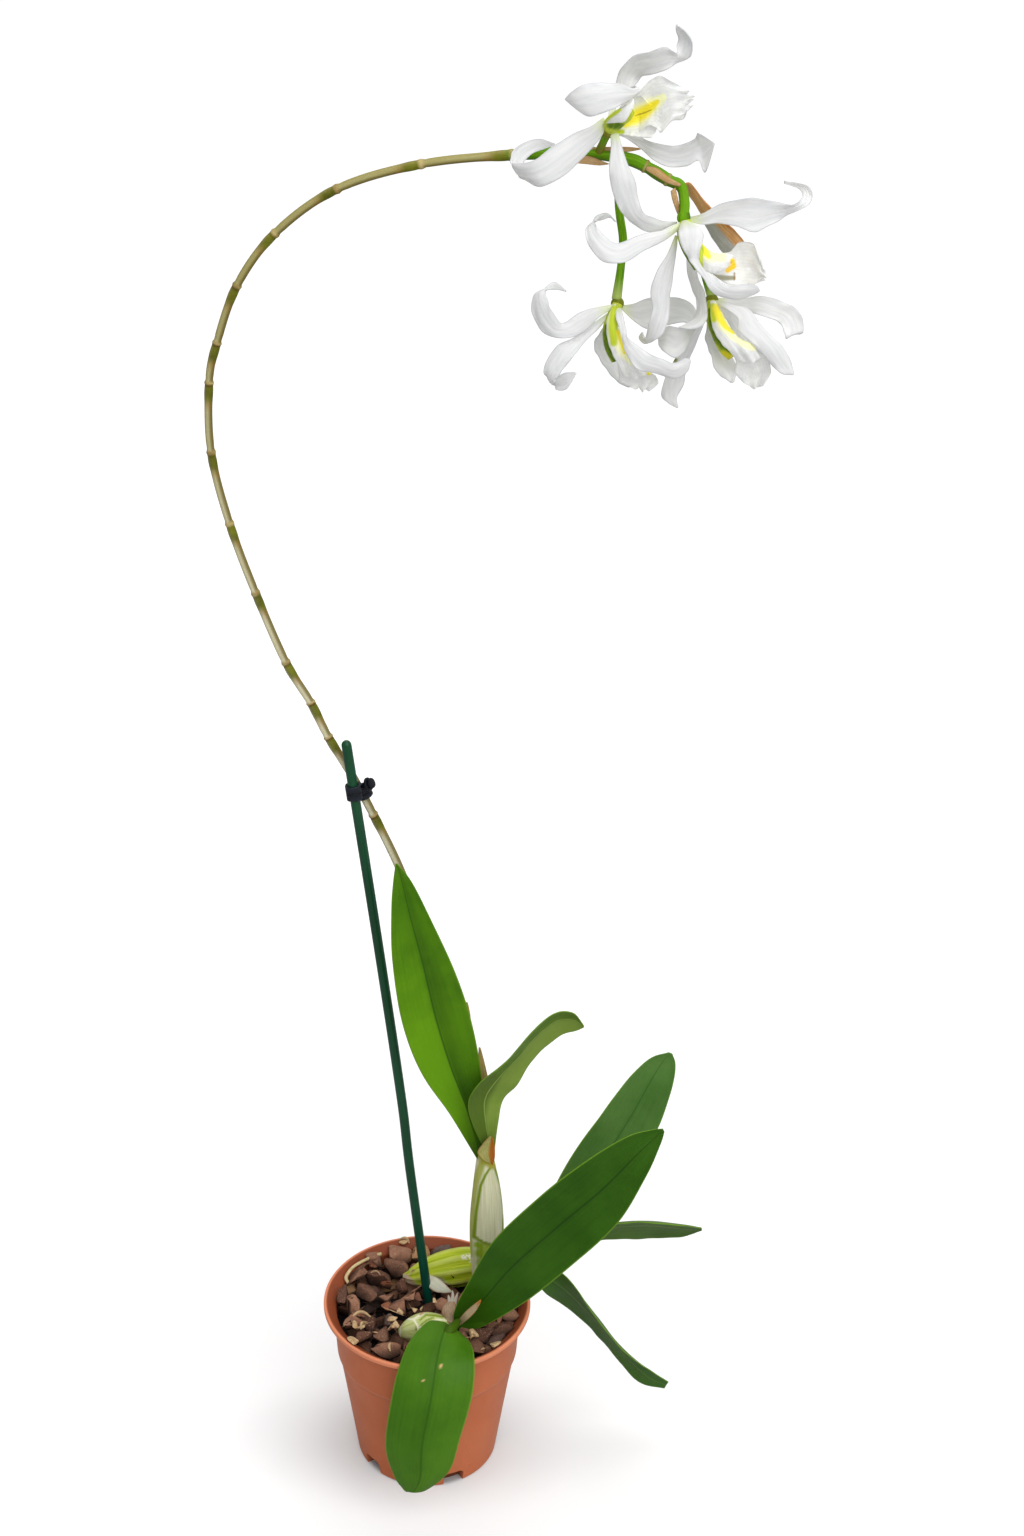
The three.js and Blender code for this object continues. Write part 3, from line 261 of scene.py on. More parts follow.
# %% Blades
def blade(rows, look, columns, spans):
    """A thin blade between two drawn edges. The middle line gives the way along, width is the
    second edge less the first, and the normal is along x width. A point at v, from -1 to 1,
    is lifted by bow * width * (1 - v * v) plus the waves, frills, groove and veins."""
    table = np.array([row if len(row) == 7 else [*row, look["bow"]] for row in rows], float)
    first = smooth(on_board(table[:, 0:3]), spans)
    second = smooth(on_board(table[:, 3:6]), spans)
    count = len(first)
    bow = np.interp(np.linspace(0, len(table) - 1, count), np.arange(len(table)), table[:, 6])
    middle = (first + second) / 2
    index = np.arange(count)
    reach = max(spans // 2, 1)
    along = unit(middle[np.minimum(index + reach, count - 1)] - middle[np.maximum(index - reach, 0)])
    width = second - first
    normal = unit(np.cross(along, width))
    size = np.linalg.norm(width, axis=1)[:, None]
    share = np.linspace(0, 1, count)[:, None]
    v = np.linspace(-1, 1, columns + 1)[None, :]
    body = np.sin(np.pi * share)
    late = np.maximum(0, 2 * share - 1)
    lift = bow[:, None] * size * (1 - v**2)
    lift = lift + look["wave"] * np.sin(19 * share + 2 * v) * v**2 * body
    lift = lift + look["frill"] * np.sin(10 * share + 7 * v) * late
    lift = lift + look["ruffle"] * np.sin(look["ruffles"] * v + 9 * share) * late * v**2
    lift = lift + look["crinkle"] * np.sin(47 * share + 5 * v) * v**4 * body
    lift = lift - look["groove"] * np.exp(-((v / 0.07) ** 2)) * np.sqrt(body)
    lift = lift + look["vein"] * np.cos(np.pi * look["veins"] * v) * (1 - v**2) * body
    onward = look["reach"] * (1 - v**2) * np.maximum(0, 3 * share - 2)
    onward = onward + look["scallop"] * np.sin(look["ruffles"] * v) * late**2
    half = (look["rim"] + (look["thickness"] - look["rim"]) * (1 - v**2)) / 2
    half = half * (0.5 + 0.5 * ease(np.minimum(share, 1 - share), 0, 0.01))
    place = first[:, None] + (v[..., None] + 1) / 2 * width[:, None]
    place = place + lift[..., None] * normal[:, None] + onward[..., None] * along[:, None]
    upper = place + half[..., None] * normal[:, None]
    lower = place - half[..., None] * normal[:, None]
    side = unit(width)[:, None]
    left = place[:, :1] - 0.25 * look["rim"] * side
    right = place[:, -1:] + 0.25 * look["rim"] * side
    rings = np.concatenate([upper, right, lower[:, ::-1], left], 1)
    facing = np.sign(np.sum((EYE - middle) * normal, axis=1).mean())
    under = [0] * (columns + 1) + [0.5] + [1] * (columns + 1) + [0.5]
    under = np.array(under, float) if facing > 0 else 1 - np.array(under, float)
    marks = {
        "share": share,
        "across": np.concatenate([v[0], [1], v[0, ::-1], [-1]])[None, :],
        "under": under[None, :],
        "distance": length_along(middle)[:, None],
    }
    return lofted(rings, marks, flat_ends=True)


def with_areas(body, areas):
    """The body with a mark for each drawn area: how deep its points lie in the area's strokes."""
    for mark, strokes in areas.items():
        body["marks"][mark] = painted(body["points"], strokes)
    return body

# %% [markdown]
# ## Pieces
# piece() turns a body into an object that rides on the one body of the frame and, unless it is
# a small extra, stands for a CAD node.


# %% Piece maker
def piece(name, body, node, material, sharp=None):
    """The body as a smooth-shaded mesh object in metres, with its marks as attributes."""
    mesh = bpy.data.meshes.new(name)
    faces = [face for group in body["faces"] for face in group.tolist()]
    mesh.from_pydata((body["points"] * MM).tolist(), [], faces)
    for mark, values in body["marks"].items():
        values = np.ascontiguousarray(values, np.float32)
        mesh.attributes.new(mark, "FLOAT", "POINT").data.foreach_set("value", values)
    mesh.shade_smooth()
    if sharp is not None:
        mesh.set_sharp_from_angle(angle=math.radians(sharp))
    mesh.materials.append(material)
    made = bpy.data.objects.new(name, mesh)
    bpy.context.scene.collection.objects.link(made)
    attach(made, "root")
    if node:
        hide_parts(node)
    return made

# %% [markdown]
# ## Drawn outlines
# A blade's row is one edge's [across, up, depth], the other edge's, and at times the bow. A
# stalk's row is [across, up, depth, radius]. They are the CAD model's own outlines, apart from
# the scale of the lying bulb, which is longer here. A spike's row ends in 1 where a node is.

# %% Outlines
LEAVES = {
    "leaf_long_left": [
        [28, 201, 4, 31.5, 203, 4], [13.3, 229.5, -4, 31, 237, -2], [-3, 257.5, -9, 28.5, 266, -7],
        [-13.5, 290, -13, 23, 295, -9], [-18.5, 328, -15, 14.5, 323, -11],
        [-19, 356, -15, 1, 356, -11], [-18, 374, -13, -8, 376, -11],
        [-16.5, 387, -12, -15.5, 387, -12],
    ],
    "leaf_twisted": [
        [34.5, 203, 3, 37.5, 203, 3], [26.5, 221, -6, 39.5, 225, -4], [23, 237, -14, 42, 240, -4],
        [28, 250, -22, 49, 249, -4], [44.3, 265.2, -26, 56.7, 264.8, -4],
        [56.5, 283, -26, 65.5, 275, -4], [68, 295, -22, 74.5, 283, -6],
        [79, 296, -17, 81.5, 285, -9], [85.5, 288, -12, 85.5, 287, -12],
    ],
    "leaf_back_right": [
        [54, 135, 24, 58, 139, 24], [64.5, 162, 26, 84.5, 155, 28], [80.5, 201.5, 30, 115, 190, 32],
        [97.7, 231.5, 34, 128.5, 221, 36], [111, 254, 38, 135, 246, 38],
        [122.5, 267, 42, 136.5, 262, 42], [132.5, 271, 44, 134.5, 270, 44],
    ],
    "leaf_front_right": [
        [15.5, 84, -22, 18, 81, -22], [16.5, 96, -25, 28, 81, -26], [25, 117, -30, 43, 90, -34],
        [38.5, 145, -32, 59.5, 103, -38], [64, 175, -32, 85, 129, -40],
        [89, 199, -30, 108.5, 156.3, -38], [110.5, 215, -28, 123, 187.5, -34],
        [124.5, 220, -26, 130.5, 210, -28], [131.5, 221, -26, 132.5, 219, -26],
    ],
    "leaf_edge_on": [
        [56, 138, 22, 57, 135, 22], [84.5, 155, 14, 87.5, 142, 24],
        [106.5, 156.2, 6, 107.5, 145.8, 27], [127.5, 157, 4, 127.5, 146, 29],
        [148.5, 154.6, 9, 146, 147.6, 23], [157, 153.1, 15, 157, 151.7, 17],
    ],
    "leaf_drooping_right": [
        [58, 132, 18, 56, 129, 18], [77, 122, 8, 67.5, 109, 12], [88.5, 107, 0, 77.5, 100, 18],
        [99.8, 87.3, -2, 93.5, 85, 20], [111.2, 70.2, 0, 103, 72, 20], [124, 57, 4, 115, 55, 18],
        [134.8, 48, 6, 126.8, 41.2, 12], [143.2, 41.8, 6, 141, 37, 7],
    ],
    "leaf_front_droop": [
        [10, 76, -24, 14, 77, -24], [2.5, 87, -31, 20, 77, -33], [-9, 74, -46, 26, 69, -48],
        [-16, 55, -58, 28, 54, -62], [-21, 30, -68, 26.5, 30, -72], [-25, -6, -72, 20, 0, -76],
        [-20.5, -29, -72, 13.2, -27, -76], [-15, -40, -72, -1, -42, -74],
        [-13, -43, -73, -11, -43, -73],
    ],
}

BRACTS = {
    "bract_long": [
        [113, 736.5, 21, 115, 735, 20], [117, 736, 24, 120, 736.5, 21],
        [120.5, 730.5, 30, 124.5, 731.5, 24], [125.5, 723.5, 34, 131.5, 724, 24],
        [128.5, 717, 36, 138, 718.5, 26], [133, 710, 36, 143, 714, 28],
        [138, 704.5, 34, 147, 709.5, 30], [143.5, 705.5, 33, 147.5, 708.5, 31],
    ],
    "bract_under": [
        [111.5, 733, 18, 113.5, 734.5, 17], [112.5, 729, 17, 115, 729, 16],
        [114.5, 724, 16, 116, 725, 16], [115.5, 722, 15, 116, 722.5, 15],
    ],
    "bract_clasp": [
        [99.5, 742.5, 21, 100.5, 744, 21], [104.5, 739.5, 19.5, 105, 743, 19.5],
        [110, 736.5, 18.5, 110.5, 739, 18.5], [115.5, 735, 17, 116, 736, 17],
    ],
    "bract_lower": [
        [70.5, 749, 23, 67.5, 745.5, 22], [75, 748, 22, 73, 745, 22],
        [79, 746.5, 22, 78.5, 744.5, 22], [83, 745, 22, 83, 745, 22],
    ],
    "bract_upper": [
        [75, 752, 24, 75, 751.5, 24], [82, 752.5, 24, 82, 751, 24],
        [90.5, 752.5, 25, 90.5, 750.5, 25], [96.5, 752, 25, 97, 751.5, 25],
    ],
    "leaf_scale": [
        [16.5, 84, -24, 18.5, 82.5, -24], [20, 92, -30, 24.5, 87.5, -33],
        [25, 98, -33, 29, 93.5, -36], [31, 102.5, -37, 31.5, 101.5, -37],
    ],
    "bulb_scale": [
        [-0.6, 118.8, 16, 1.6, 120, 18], [0.6, 112.4, 10, 6.4, 117.8, 13],
        [4.4, 108.4, 7, 10.4, 113.6, 10], [9.4, 107.2, 6, 13, 110.2, 8],
        [13.6, 107.4, 6, 14.6, 108.2, 7],
    ],
}

FLOWER_1 = {
    "dorsal_sepal": [
        [79.5, 765.5, 15, 81, 762, 14], [74, 761.5, 10, 78.5, 756.5, 10],
        [66.5, 758.5, 5, 72, 749, 5], [57.5, 753, 1, 63, 740.5, 1], [48.5, 746.5, 1, 52.5, 735, -1],
        [40.5, 745.5, 7, 46.5, 736.5, 5], [38, 747.5, 11, 42.5, 740, 9],
        [39.5, 751.5, 15, 43.5, 745, 13], [45.5, 755, 17, 47.5, 749.5, 16],
        [51.5, 756, 17, 52.5, 751.5, 17], [58, 754, 16, 58, 753.5, 16],
    ],
    "lower_left_sepal": [
        [83, 758.5, 12, 86.5, 758.5, 12], [83.5, 752.5, 9, 88.5, 752.5, 9],
        [83, 744, 6, 91, 745.5, 6], [84, 736, 4, 95, 737.5, 3], [87, 727.5, 4, 96.5, 730.5, 4],
        [91, 721.5, 6, 99, 724, 6], [96.5, 717, 9, 102.5, 721.5, 8],
        [104.5, 714.5, 12, 108.5, 719.5, 12], [115, 718.5, 15, 115, 719, 15],
    ],
    "lower_right_sepal": [
        [83.5, 759, 15, 83, 758, 15], [89.5, 758.5, 26, 89, 757, 26], [96, 757, 26, 96, 752.5, 26],
        [103, 754.5, 24, 102, 747.5, 24], [112, 753, 22, 109.5, 744, 22],
        [118, 754.5, 20, 118, 744, 20], [121.5, 756.5, 18, 123.5, 746.5, 20],
        [123, 758.5, 14, 127, 741.5, 24], [130, 754.5, 18, 130.5, 754, 18],
    ],
    "left_petal": [
        [81, 765, 18, 82.5, 764, 18], [87, 770, 25, 88.5, 767.5, 25], [91, 778, 22, 92, 775.5, 22],
        [94.5, 779, 13, 95, 777, 12], [92, 778, 5, 92.5, 774, 4], [85, 780, -2, 86.5, 770.5, -4],
        [76.5, 780.5, -4, 78, 767, -6], [70, 779.5, -4, 72.5, 766, -6],
        [65, 776.5, -3, 68, 768.5, -4], [62, 773.5, 0, 62.5, 773, 0],
    ],
    "upper_petal": [
        [81, 762.5, 16, 82.5, 762.5, 16], [83, 772.5, 31, 86.5, 772.5, 31],
        [84.5, 779.5, 31, 92, 778, 31], [86.5, 786, 28, 95, 781.5, 34],
        [91.5, 792, 26, 97.5, 783.5, 30], [98.5, 793.5, 24, 103.5, 785, 26],
        [106, 795.5, 22, 108.5, 787, 24], [111, 793.5, 22, 112.5, 789, 24],
        [111.5, 796, 26, 117.5, 792, 19], [111.5, 799.5, 28, 118.5, 797, 20],
        [110.5, 803, 26, 115, 802, 22], [110.5, 805.5, 24, 111, 805, 24],
    ],
    "lip": [
        [83.5, 765.5, 14, 83, 759, 14, 0.2], [88, 769.5, 13, 88, 758, 12, 0.25],
        [92, 773.5, 12, 95, 757, 9, 0.3], [96.5, 775, 10, 102, 756.5, 6, 0.3],
    ],
    "fan": [
        [92.5, 774, 12.5, 96, 759, 9.5, 0.3], [96, 777.5, 11, 100, 762, 8, 0.28],
        [100, 781.5, 9.5, 103.5, 761, 6, 0.16], [104.5, 783.5, 8, 106, 759, 4, 0.1],
        [109.5, 781, 7, 110.5, 764, 3, 0.05], [114, 779, 6, 115, 765, 2, 0],
        [116.5, 776.5, 5, 117, 768.5, 2, 0],
    ],
}

FLOWER_2 = {
    "right_petal": [
        [120, 721, 12, 121, 719, 11], [127, 723, 8, 127, 718, 8], [134, 727, 6, 134, 718.5, 6],
        [142, 729, 4, 142.5, 717, 3], [149, 730, 4, 151, 714.5, 4], [157.5, 728.5, 8, 158, 718, 10],
        [166, 727, 12, 165.5, 721.5, 16], [170.5, 728.5, 18, 174.5, 726.5, 18],
        [172, 731, 26, 176.5, 731, 24], [170, 734, 32, 173.5, 735.5, 30],
        [163, 736.5, 34, 163, 737.5, 34],
    ],
    "left_petal": [
        [116.5, 719, 10, 115.5, 715, 8], [109.5, 715.5, 4, 109.5, 710.5, 2],
        [98, 713, 0, 100.5, 706, -4], [89, 709.5, -3, 91.5, 700.5, -7],
        [83.5, 711.5, -2, 82, 701, -8], [79, 715.5, 2, 75.5, 707.5, -4], [77.5, 718, 8, 73, 714, 2],
        [77.5, 719, 16, 75.5, 718, 12], [80.5, 720, 22, 78.5, 722, 20], [84, 721, 24, 83, 723, 24],
        [87, 719, 22, 86.5, 719.5, 22],
    ],
    "lower_left_sepal": [
        [114.5, 713, 12, 115.5, 712.5, 12], [111.5, 705, 6, 115.5, 706, 8],
        [106.5, 696, 2, 114.5, 697, 4], [104.5, 686.5, 0, 113.5, 687, 2],
        [105.5, 679, 0, 113.5, 679, 0], [104, 671.5, 0, 112.5, 671.5, -2],
        [102.5, 665, 4, 109.5, 665.5, -2], [101.5, 668, 10, 103, 662.5, 6],
        [100, 666.5, 14, 100, 664.5, 13],
    ],
    "front_sepal": [
        [117, 719, 10, 119, 720, 10], [116, 714.5, -4, 126.5, 715.5, -4],
        [117.5, 708.5, -8, 127.5, 711, -8], [121, 703, -10, 126, 705, -10],
        [124.5, 698, -14, 126.5, 700, -6], [129.5, 691, -12, 131.5, 695.5, -8],
        [135, 685.5, -10, 138.5, 690.5, -10], [143, 683.5, -8, 146.5, 690, -10],
        [150.5, 685, -6, 153, 690, -8], [155, 687, -4, 155, 688, -4],
    ],
    "back_sepal": [
        [117, 718.5, 14, 119, 719, 14], [120, 705, 26, 123, 706, 26], [121, 696, 28, 126, 694, 26],
        [123.5, 688, 26, 129, 688, 24], [126, 683, 24, 130.5, 681, 20],
        [126, 678, 20, 131.5, 676, 16], [124.5, 674, 16, 130, 672, 12],
        [121, 671.5, 14, 124, 669.5, 10], [118, 670.5, 12, 118.5, 670, 12],
    ],
    "lip": [
        [126, 700.5, 6, 125.5, 711, 10, 0.3], [128.5, 697, 1, 130, 706.5, 8, 0.35],
        [132.5, 695.5, -1, 135, 704.5, 6, 0.3], [137, 696.5, 1, 141, 704, 6, 0.25],
        [140, 700.5, 4, 141.5, 703, 7, 0.1],
    ],
    "fan": [
        [132.5, 695.5, -1.5, 135, 704.5, 5.5, 0.3], [139, 691, 8, 140.5, 705.5, 12, 0],
        [144.5, 690, 11, 144, 709.5, 15, -0.15], [149.5, 689.5, 10, 150, 709.5, 14, -0.15],
        [153.5, 690.5, 8, 153, 706, 12, -0.1], [156, 693.5, 6, 156, 698.5, 9, 0],
    ],
}

FLOWER_3 = {
    "left_petal": [
        [87, 681, 18, 87.5, 679.5, 18], [78.5, 679.5, 14, 80.5, 675, 12],
        [71, 677, 12, 75, 669.5, 10], [65.5, 673, 10, 67.5, 665.5, 8], [62.5, 672.5, 8, 58, 666, 8],
        [59, 677.5, 6, 52.5, 670, 8], [56.5, 682.5, 6, 49.5, 677.5, 10],
        [55, 686.5, 10, 50, 685, 14], [56, 687.5, 17, 54.5, 688.5, 18],
        [60.5, 688, 21, 59.5, 691.5, 22], [65, 687, 22, 65, 687.5, 22],
    ],
    "lower_left_sepal": [
        [86, 678, 20, 87, 677.5, 20], [77, 671.5, 16, 81.5, 671, 14], [68.5, 665, 12, 74, 663, 10],
        [61, 661.5, 10, 69, 656, 6], [56, 653, 8, 64, 650, 4], [56, 648.5, 8, 61.5, 645, 4],
        [58, 645, 10, 60.5, 643, 6], [61, 646, 4, 62, 640.5, 2], [65, 648.5, 0, 66.5, 641, -2],
        [70.5, 649, -2, 71, 648.5, -2],
    ],
    "back_sepal": [
        [88, 679, 24, 90, 679, 24], [83, 671, 30, 87, 671, 32], [79.5, 664, 32, 86, 664, 36],
        [79.5, 658, 32, 87.5, 659, 38], [85, 651, 28, 91, 653, 34],
        [90, 644.5, 24, 95.5, 647.5, 30], [96, 641.5, 22, 97, 642, 22],
    ],
    "front_sepal": [
        [88, 680, 20, 90.5, 680, 20], [88.5, 675, 8, 92, 675.5, 8],
        [90.5, 669.5, 4, 93.5, 669.5, 4], [92, 663.5, 2, 94.5, 665.5, 2],
        [94, 658, 0, 99.5, 661.5, 0], [99.5, 650.5, -2, 105.5, 657.5, -2],
        [107.5, 648.5, -4, 112, 655, -4], [116.5, 646, -4, 117.5, 653, -6],
        [123, 649, -2, 122, 655.5, -4], [124.5, 654, 0, 124.5, 655, 0],
    ],
    "right_petal": [
        [90.5, 680.5, 23, 91, 679, 23], [97, 681.5, 30, 98, 672.5, 30],
        [103.5, 684, 34, 104, 669.5, 32], [112, 684.5, 38, 111, 671, 36],
        [121, 683, 40, 120.5, 672.5, 32], [126.5, 677, 36, 123.5, 670.5, 27],
        [123, 663.5, 22, 121.5, 669.5, 20], [118, 656, 16, 116, 670.5, 20],
        [111.5, 659, 18, 112.5, 670.5, 22], [109, 662.5, 26, 108.5, 665.5, 27],
    ],
    "lip": [
        [87, 681, 17, 88.5, 681, 17, 0.3], [84.5, 673.5, 10, 89, 673, 11, 0.4],
        [85, 665, 8, 92, 665, 9, 0.4], [88, 657, 6, 94.5, 658.5, 8, 0.35],
        [91, 651.5, 6, 98, 652.5, 8, 0.25], [93, 647, 8, 103.5, 649.5, 10, 0.1],
    ],
    "fan": [
        [90, 654, 6.5, 96.5, 654.5, 8.5, 0.25], [91, 648, 11, 103.5, 649.5, 12, 0.1],
        [91.5, 644.5, 15, 108, 647.5, 15, -0.05], [96, 642, 17, 109.5, 644.5, 17, -0.05],
        [100, 641.5, 18, 106.5, 642, 18, 0],
    ],
}

FLOWER_4 = {
    "left_sepal": [
        [132.5, 679.5, 26, 133.5, 679.5, 28], [131.5, 674.5, 26, 133.5, 673, 32],
        [131.5, 666, 24, 137.5, 664.5, 32], [133.5, 657.5, 20, 141.5, 657.5, 26],
        [137, 650, 14, 145.5, 653.5, 20], [143, 644.5, 10, 146.5, 649, 14],
        [145.5, 644, 8, 146, 644.5, 8],
    ],
    "back_sepal": [
        [131.5, 682.5, 27, 133.5, 681.5, 27], [127, 671.5, 40, 130.5, 673, 40],
        [121.5, 663.5, 42, 127, 663.5, 42], [117.5, 656, 42, 124, 655, 42],
        [113, 646, 38, 122.5, 648, 38], [111.5, 638, 34, 122, 643, 34],
        [115, 634, 32, 119, 636.5, 32], [119.5, 631.5, 30, 120, 632, 30],
    ],
    "right_sepal": [
        [133.5, 682, 23, 135, 683, 23], [139.5, 679, 12, 143, 681, 14],
        [145.5, 674.5, 8, 150, 679, 12], [146.5, 669, 6, 155.5, 673, 10],
        [152, 663.5, 4, 162, 666.5, 8], [157.5, 659, 4, 167.5, 661, 8],
        [164, 651.5, 6, 172, 654.5, 8], [168.5, 648, 6, 173.5, 650, 8],
        [173.5, 647.5, 8, 174, 648, 8],
    ],
    "upper_petal": [
        [136, 684, 26, 136.5, 682.5, 26], [141, 684, 32, 142.5, 679.5, 32],
        [148.5, 684, 34, 149, 678, 34], [156, 685, 34, 154.5, 676.5, 32],
        [165, 683, 34, 162, 674, 30], [172, 679.5, 30, 166, 672, 26],
        [176, 674.5, 26, 168, 667.5, 22], [177, 668.5, 22, 169, 665, 22],
        [175, 667, 27, 170.5, 666, 29],
    ],
    "inner_petal": [
        [134, 681, 27, 135, 682, 27], [138.5, 676.5, 36, 142.5, 679, 36],
        [142, 671.5, 38, 148, 673, 38], [146, 664.5, 38, 152, 666.5, 38],
        [153, 659, 34, 156, 663, 34], [157.5, 657.5, 30, 158.5, 658, 30],
    ],
    "lip": [
        [132.5, 682.5, 21, 135, 682, 21, 0.3], [133, 675.5, 13, 138.5, 676.5, 14, 0.4],
        [135, 668.5, 9, 142.5, 670, 10, 0.4], [139.5, 662, 5, 148, 664.5, 8, 0.35],
        [144, 658, 4, 153, 662.5, 6, 0.3], [148.5, 654, 5, 157, 658, 8, 0.2],
    ],
    "fan": [
        [142.5, 659.5, 4.5, 150.5, 663.5, 7, 0.3], [146, 654.5, 9, 155.5, 660, 11, 0.1],
        [146, 649, 12, 161, 655.5, 13, -0.05], [149, 645, 14, 162.5, 649.5, 15, -0.05],
        [152.5, 642.5, 15, 160.5, 644.5, 16, 0],
    ],
}

COLUMNS = [
    [
        [82.5, 760, 14, 2.5], [83.5, 762, 11, 3.7], [86, 764.5, 8, 3.9], [89.5, 767, 6, 3.5],
        [91.5, 769, 5, 2.6],
    ],
    [
        [118.5, 720, 12, 2.5], [119.5, 714.5, 9, 4.4], [122, 708.5, 7, 4.8], [125, 703, 5, 4.4],
        [127, 698, 4, 3.2],
    ],
    [
        [89, 681, 20, 2.5], [87.5, 675, 17, 3.5], [86, 668.5, 16, 3.6], [87, 661, 15, 3.3],
        [89.5, 654.5, 14, 2.5],
    ],
    [
        [133, 682.5, 24, 2.5], [134, 675, 20, 3.4], [137, 668, 18, 3.6], [140.5, 661, 15, 3.4],
        [144, 656.5, 12, 2.5],
    ],
]

HUBS = [[82, 759.5, 14], [118, 721, 12], [89, 681.5, 22], [133, 683, 25]]

PEDICELS = {
    "pedicel_1": [[78, 750.5, 25, 2], [80, 755, 18, 1.8], [82, 759.5, 14, 2]],
    "pedicel_3": [
        [86.5, 747, 26, 1.8], [88, 726, 27, 1.9], [90.5, 711, 26, 2], [90, 698.5, 24, 1.9],
        [88.5, 683.5, 22, 2.4],
    ],
    "pedicel_4": [[118, 727, 17, 1.6], [122, 713, 30, 1.6], [128.5, 696, 32, 1.7], [133, 684, 25, 2.2]],
}

BULBS = {
    "bulb_upright": [
        [32.5, 208, 5, 3.8], [32.8, 197, 6, 5.6], [33.6, 180, 7, 8], [33.9, 161, 8, 9.6],
        [34.1, 143, 9, 9.7], [34.6, 122, 11, 8.8], [35.2, 102, 12, 7.2], [35.5, 86, 13, 5],
    ],
    "bulb_lying": [
        [-14, 119, 27, 2], [-8, 119, 27, 6], [5, 123, 29, 10], [19, 126, 31, 11.5],
        [35, 129, 29, 9.5], [47, 133, 26, 7], [56, 136, 22, 4],
    ],
    "bulb_front": [
        [-16, 78, -21, 3], [-10, 80, -21, 7], [-1.5, 82, -21, 8.8], [7.5, 82, -21, 7.5], [14, 80, -21, 4],
        [17, 80, -21, 2.5],
    ],
}

ROOT = [
    [-45.5, 106, 20, 1], [-45.5, 113.5, 20, 1], [-46.8, 118.6, 22, 1], [-43.2, 125.1, 28, 0.9],
    [-38, 129.3, 33, 0.9], [-32.8, 132.2, 38, 0.9], [-26.4, 135.3, 42, 1],
]

STAKE = [
    [-41.6, 458, 14], [-25.7, 335, 13], [-14.1, 240, 12], [-8.9, 187, 12], [1.2, 99, 11],
]

CLIP = {
    "stake": [-37.8, 429, 14],
    "spike": [-33, 429, 20],
    "knob": [-31, 433, 14],
    "radius": 4.4,
    "height": 8,
}

SPIKE = [
    [33, 208, 6, 0], [28, 256, 10, 0], [22.5, 279, 14, 1], [16.5, 303, 17, 1], [8.5, 328, 19, 0],
    [-6, 362, 21, 1], [-17, 391, 22, 0], [-28, 416, 21, 1], [-38, 437, 20, 0], [-50.5, 460, 22, 1],
    [-59, 479, 25, 1], [-71, 501, 28, 1], [-85, 538, 33, 1], [-96.5, 574, 38, 1],
    [-104, 610, 41, 1], [-103.5, 644, 42, 1], [-99, 663, 42, 1], [-88.5, 690, 40, 1],
    [-70, 714, 37, 1], [-41, 734, 33, 1], [-2.5, 745, 29, 1], [38.5, 749, 26, 1],
    [70.5, 750, 26, 0], [81.5, 749, 26, 0], [92.5, 747, 25, 0], [99.5, 744, 24, 1],
    [110, 738, 22, 1], [116, 735, 20, 0], [118, 728, 16, 0], [118, 722, 12, 0],
]
print("leaves, bracts:", len(LEAVES), len(BRACTS))

# %% [markdown]
# ## Materials
# A colour is given as red, green and blue from 0 to 255, as a picture shows it. Sketch keeps the
# node work short: each of its methods adds one node, or a few, and gives back its output.


# %% Shader nodes
def linear(red, green, blue):
    """The linear light that the shader takes: (c / 255 + 0.055) / 1.055 to the power 2.4, or
    c / 255 / 12.92 for the darkest."""
    values = np.array([red, green, blue]) / 255
    light = np.where(values <= 0.04045, values / 12.92, ((values + 0.055) / 1.055) ** 2.4)
    return (*[float(value) for value in light], 1.0)


print("mid grey in linear light:", linear(128, 128, 128))


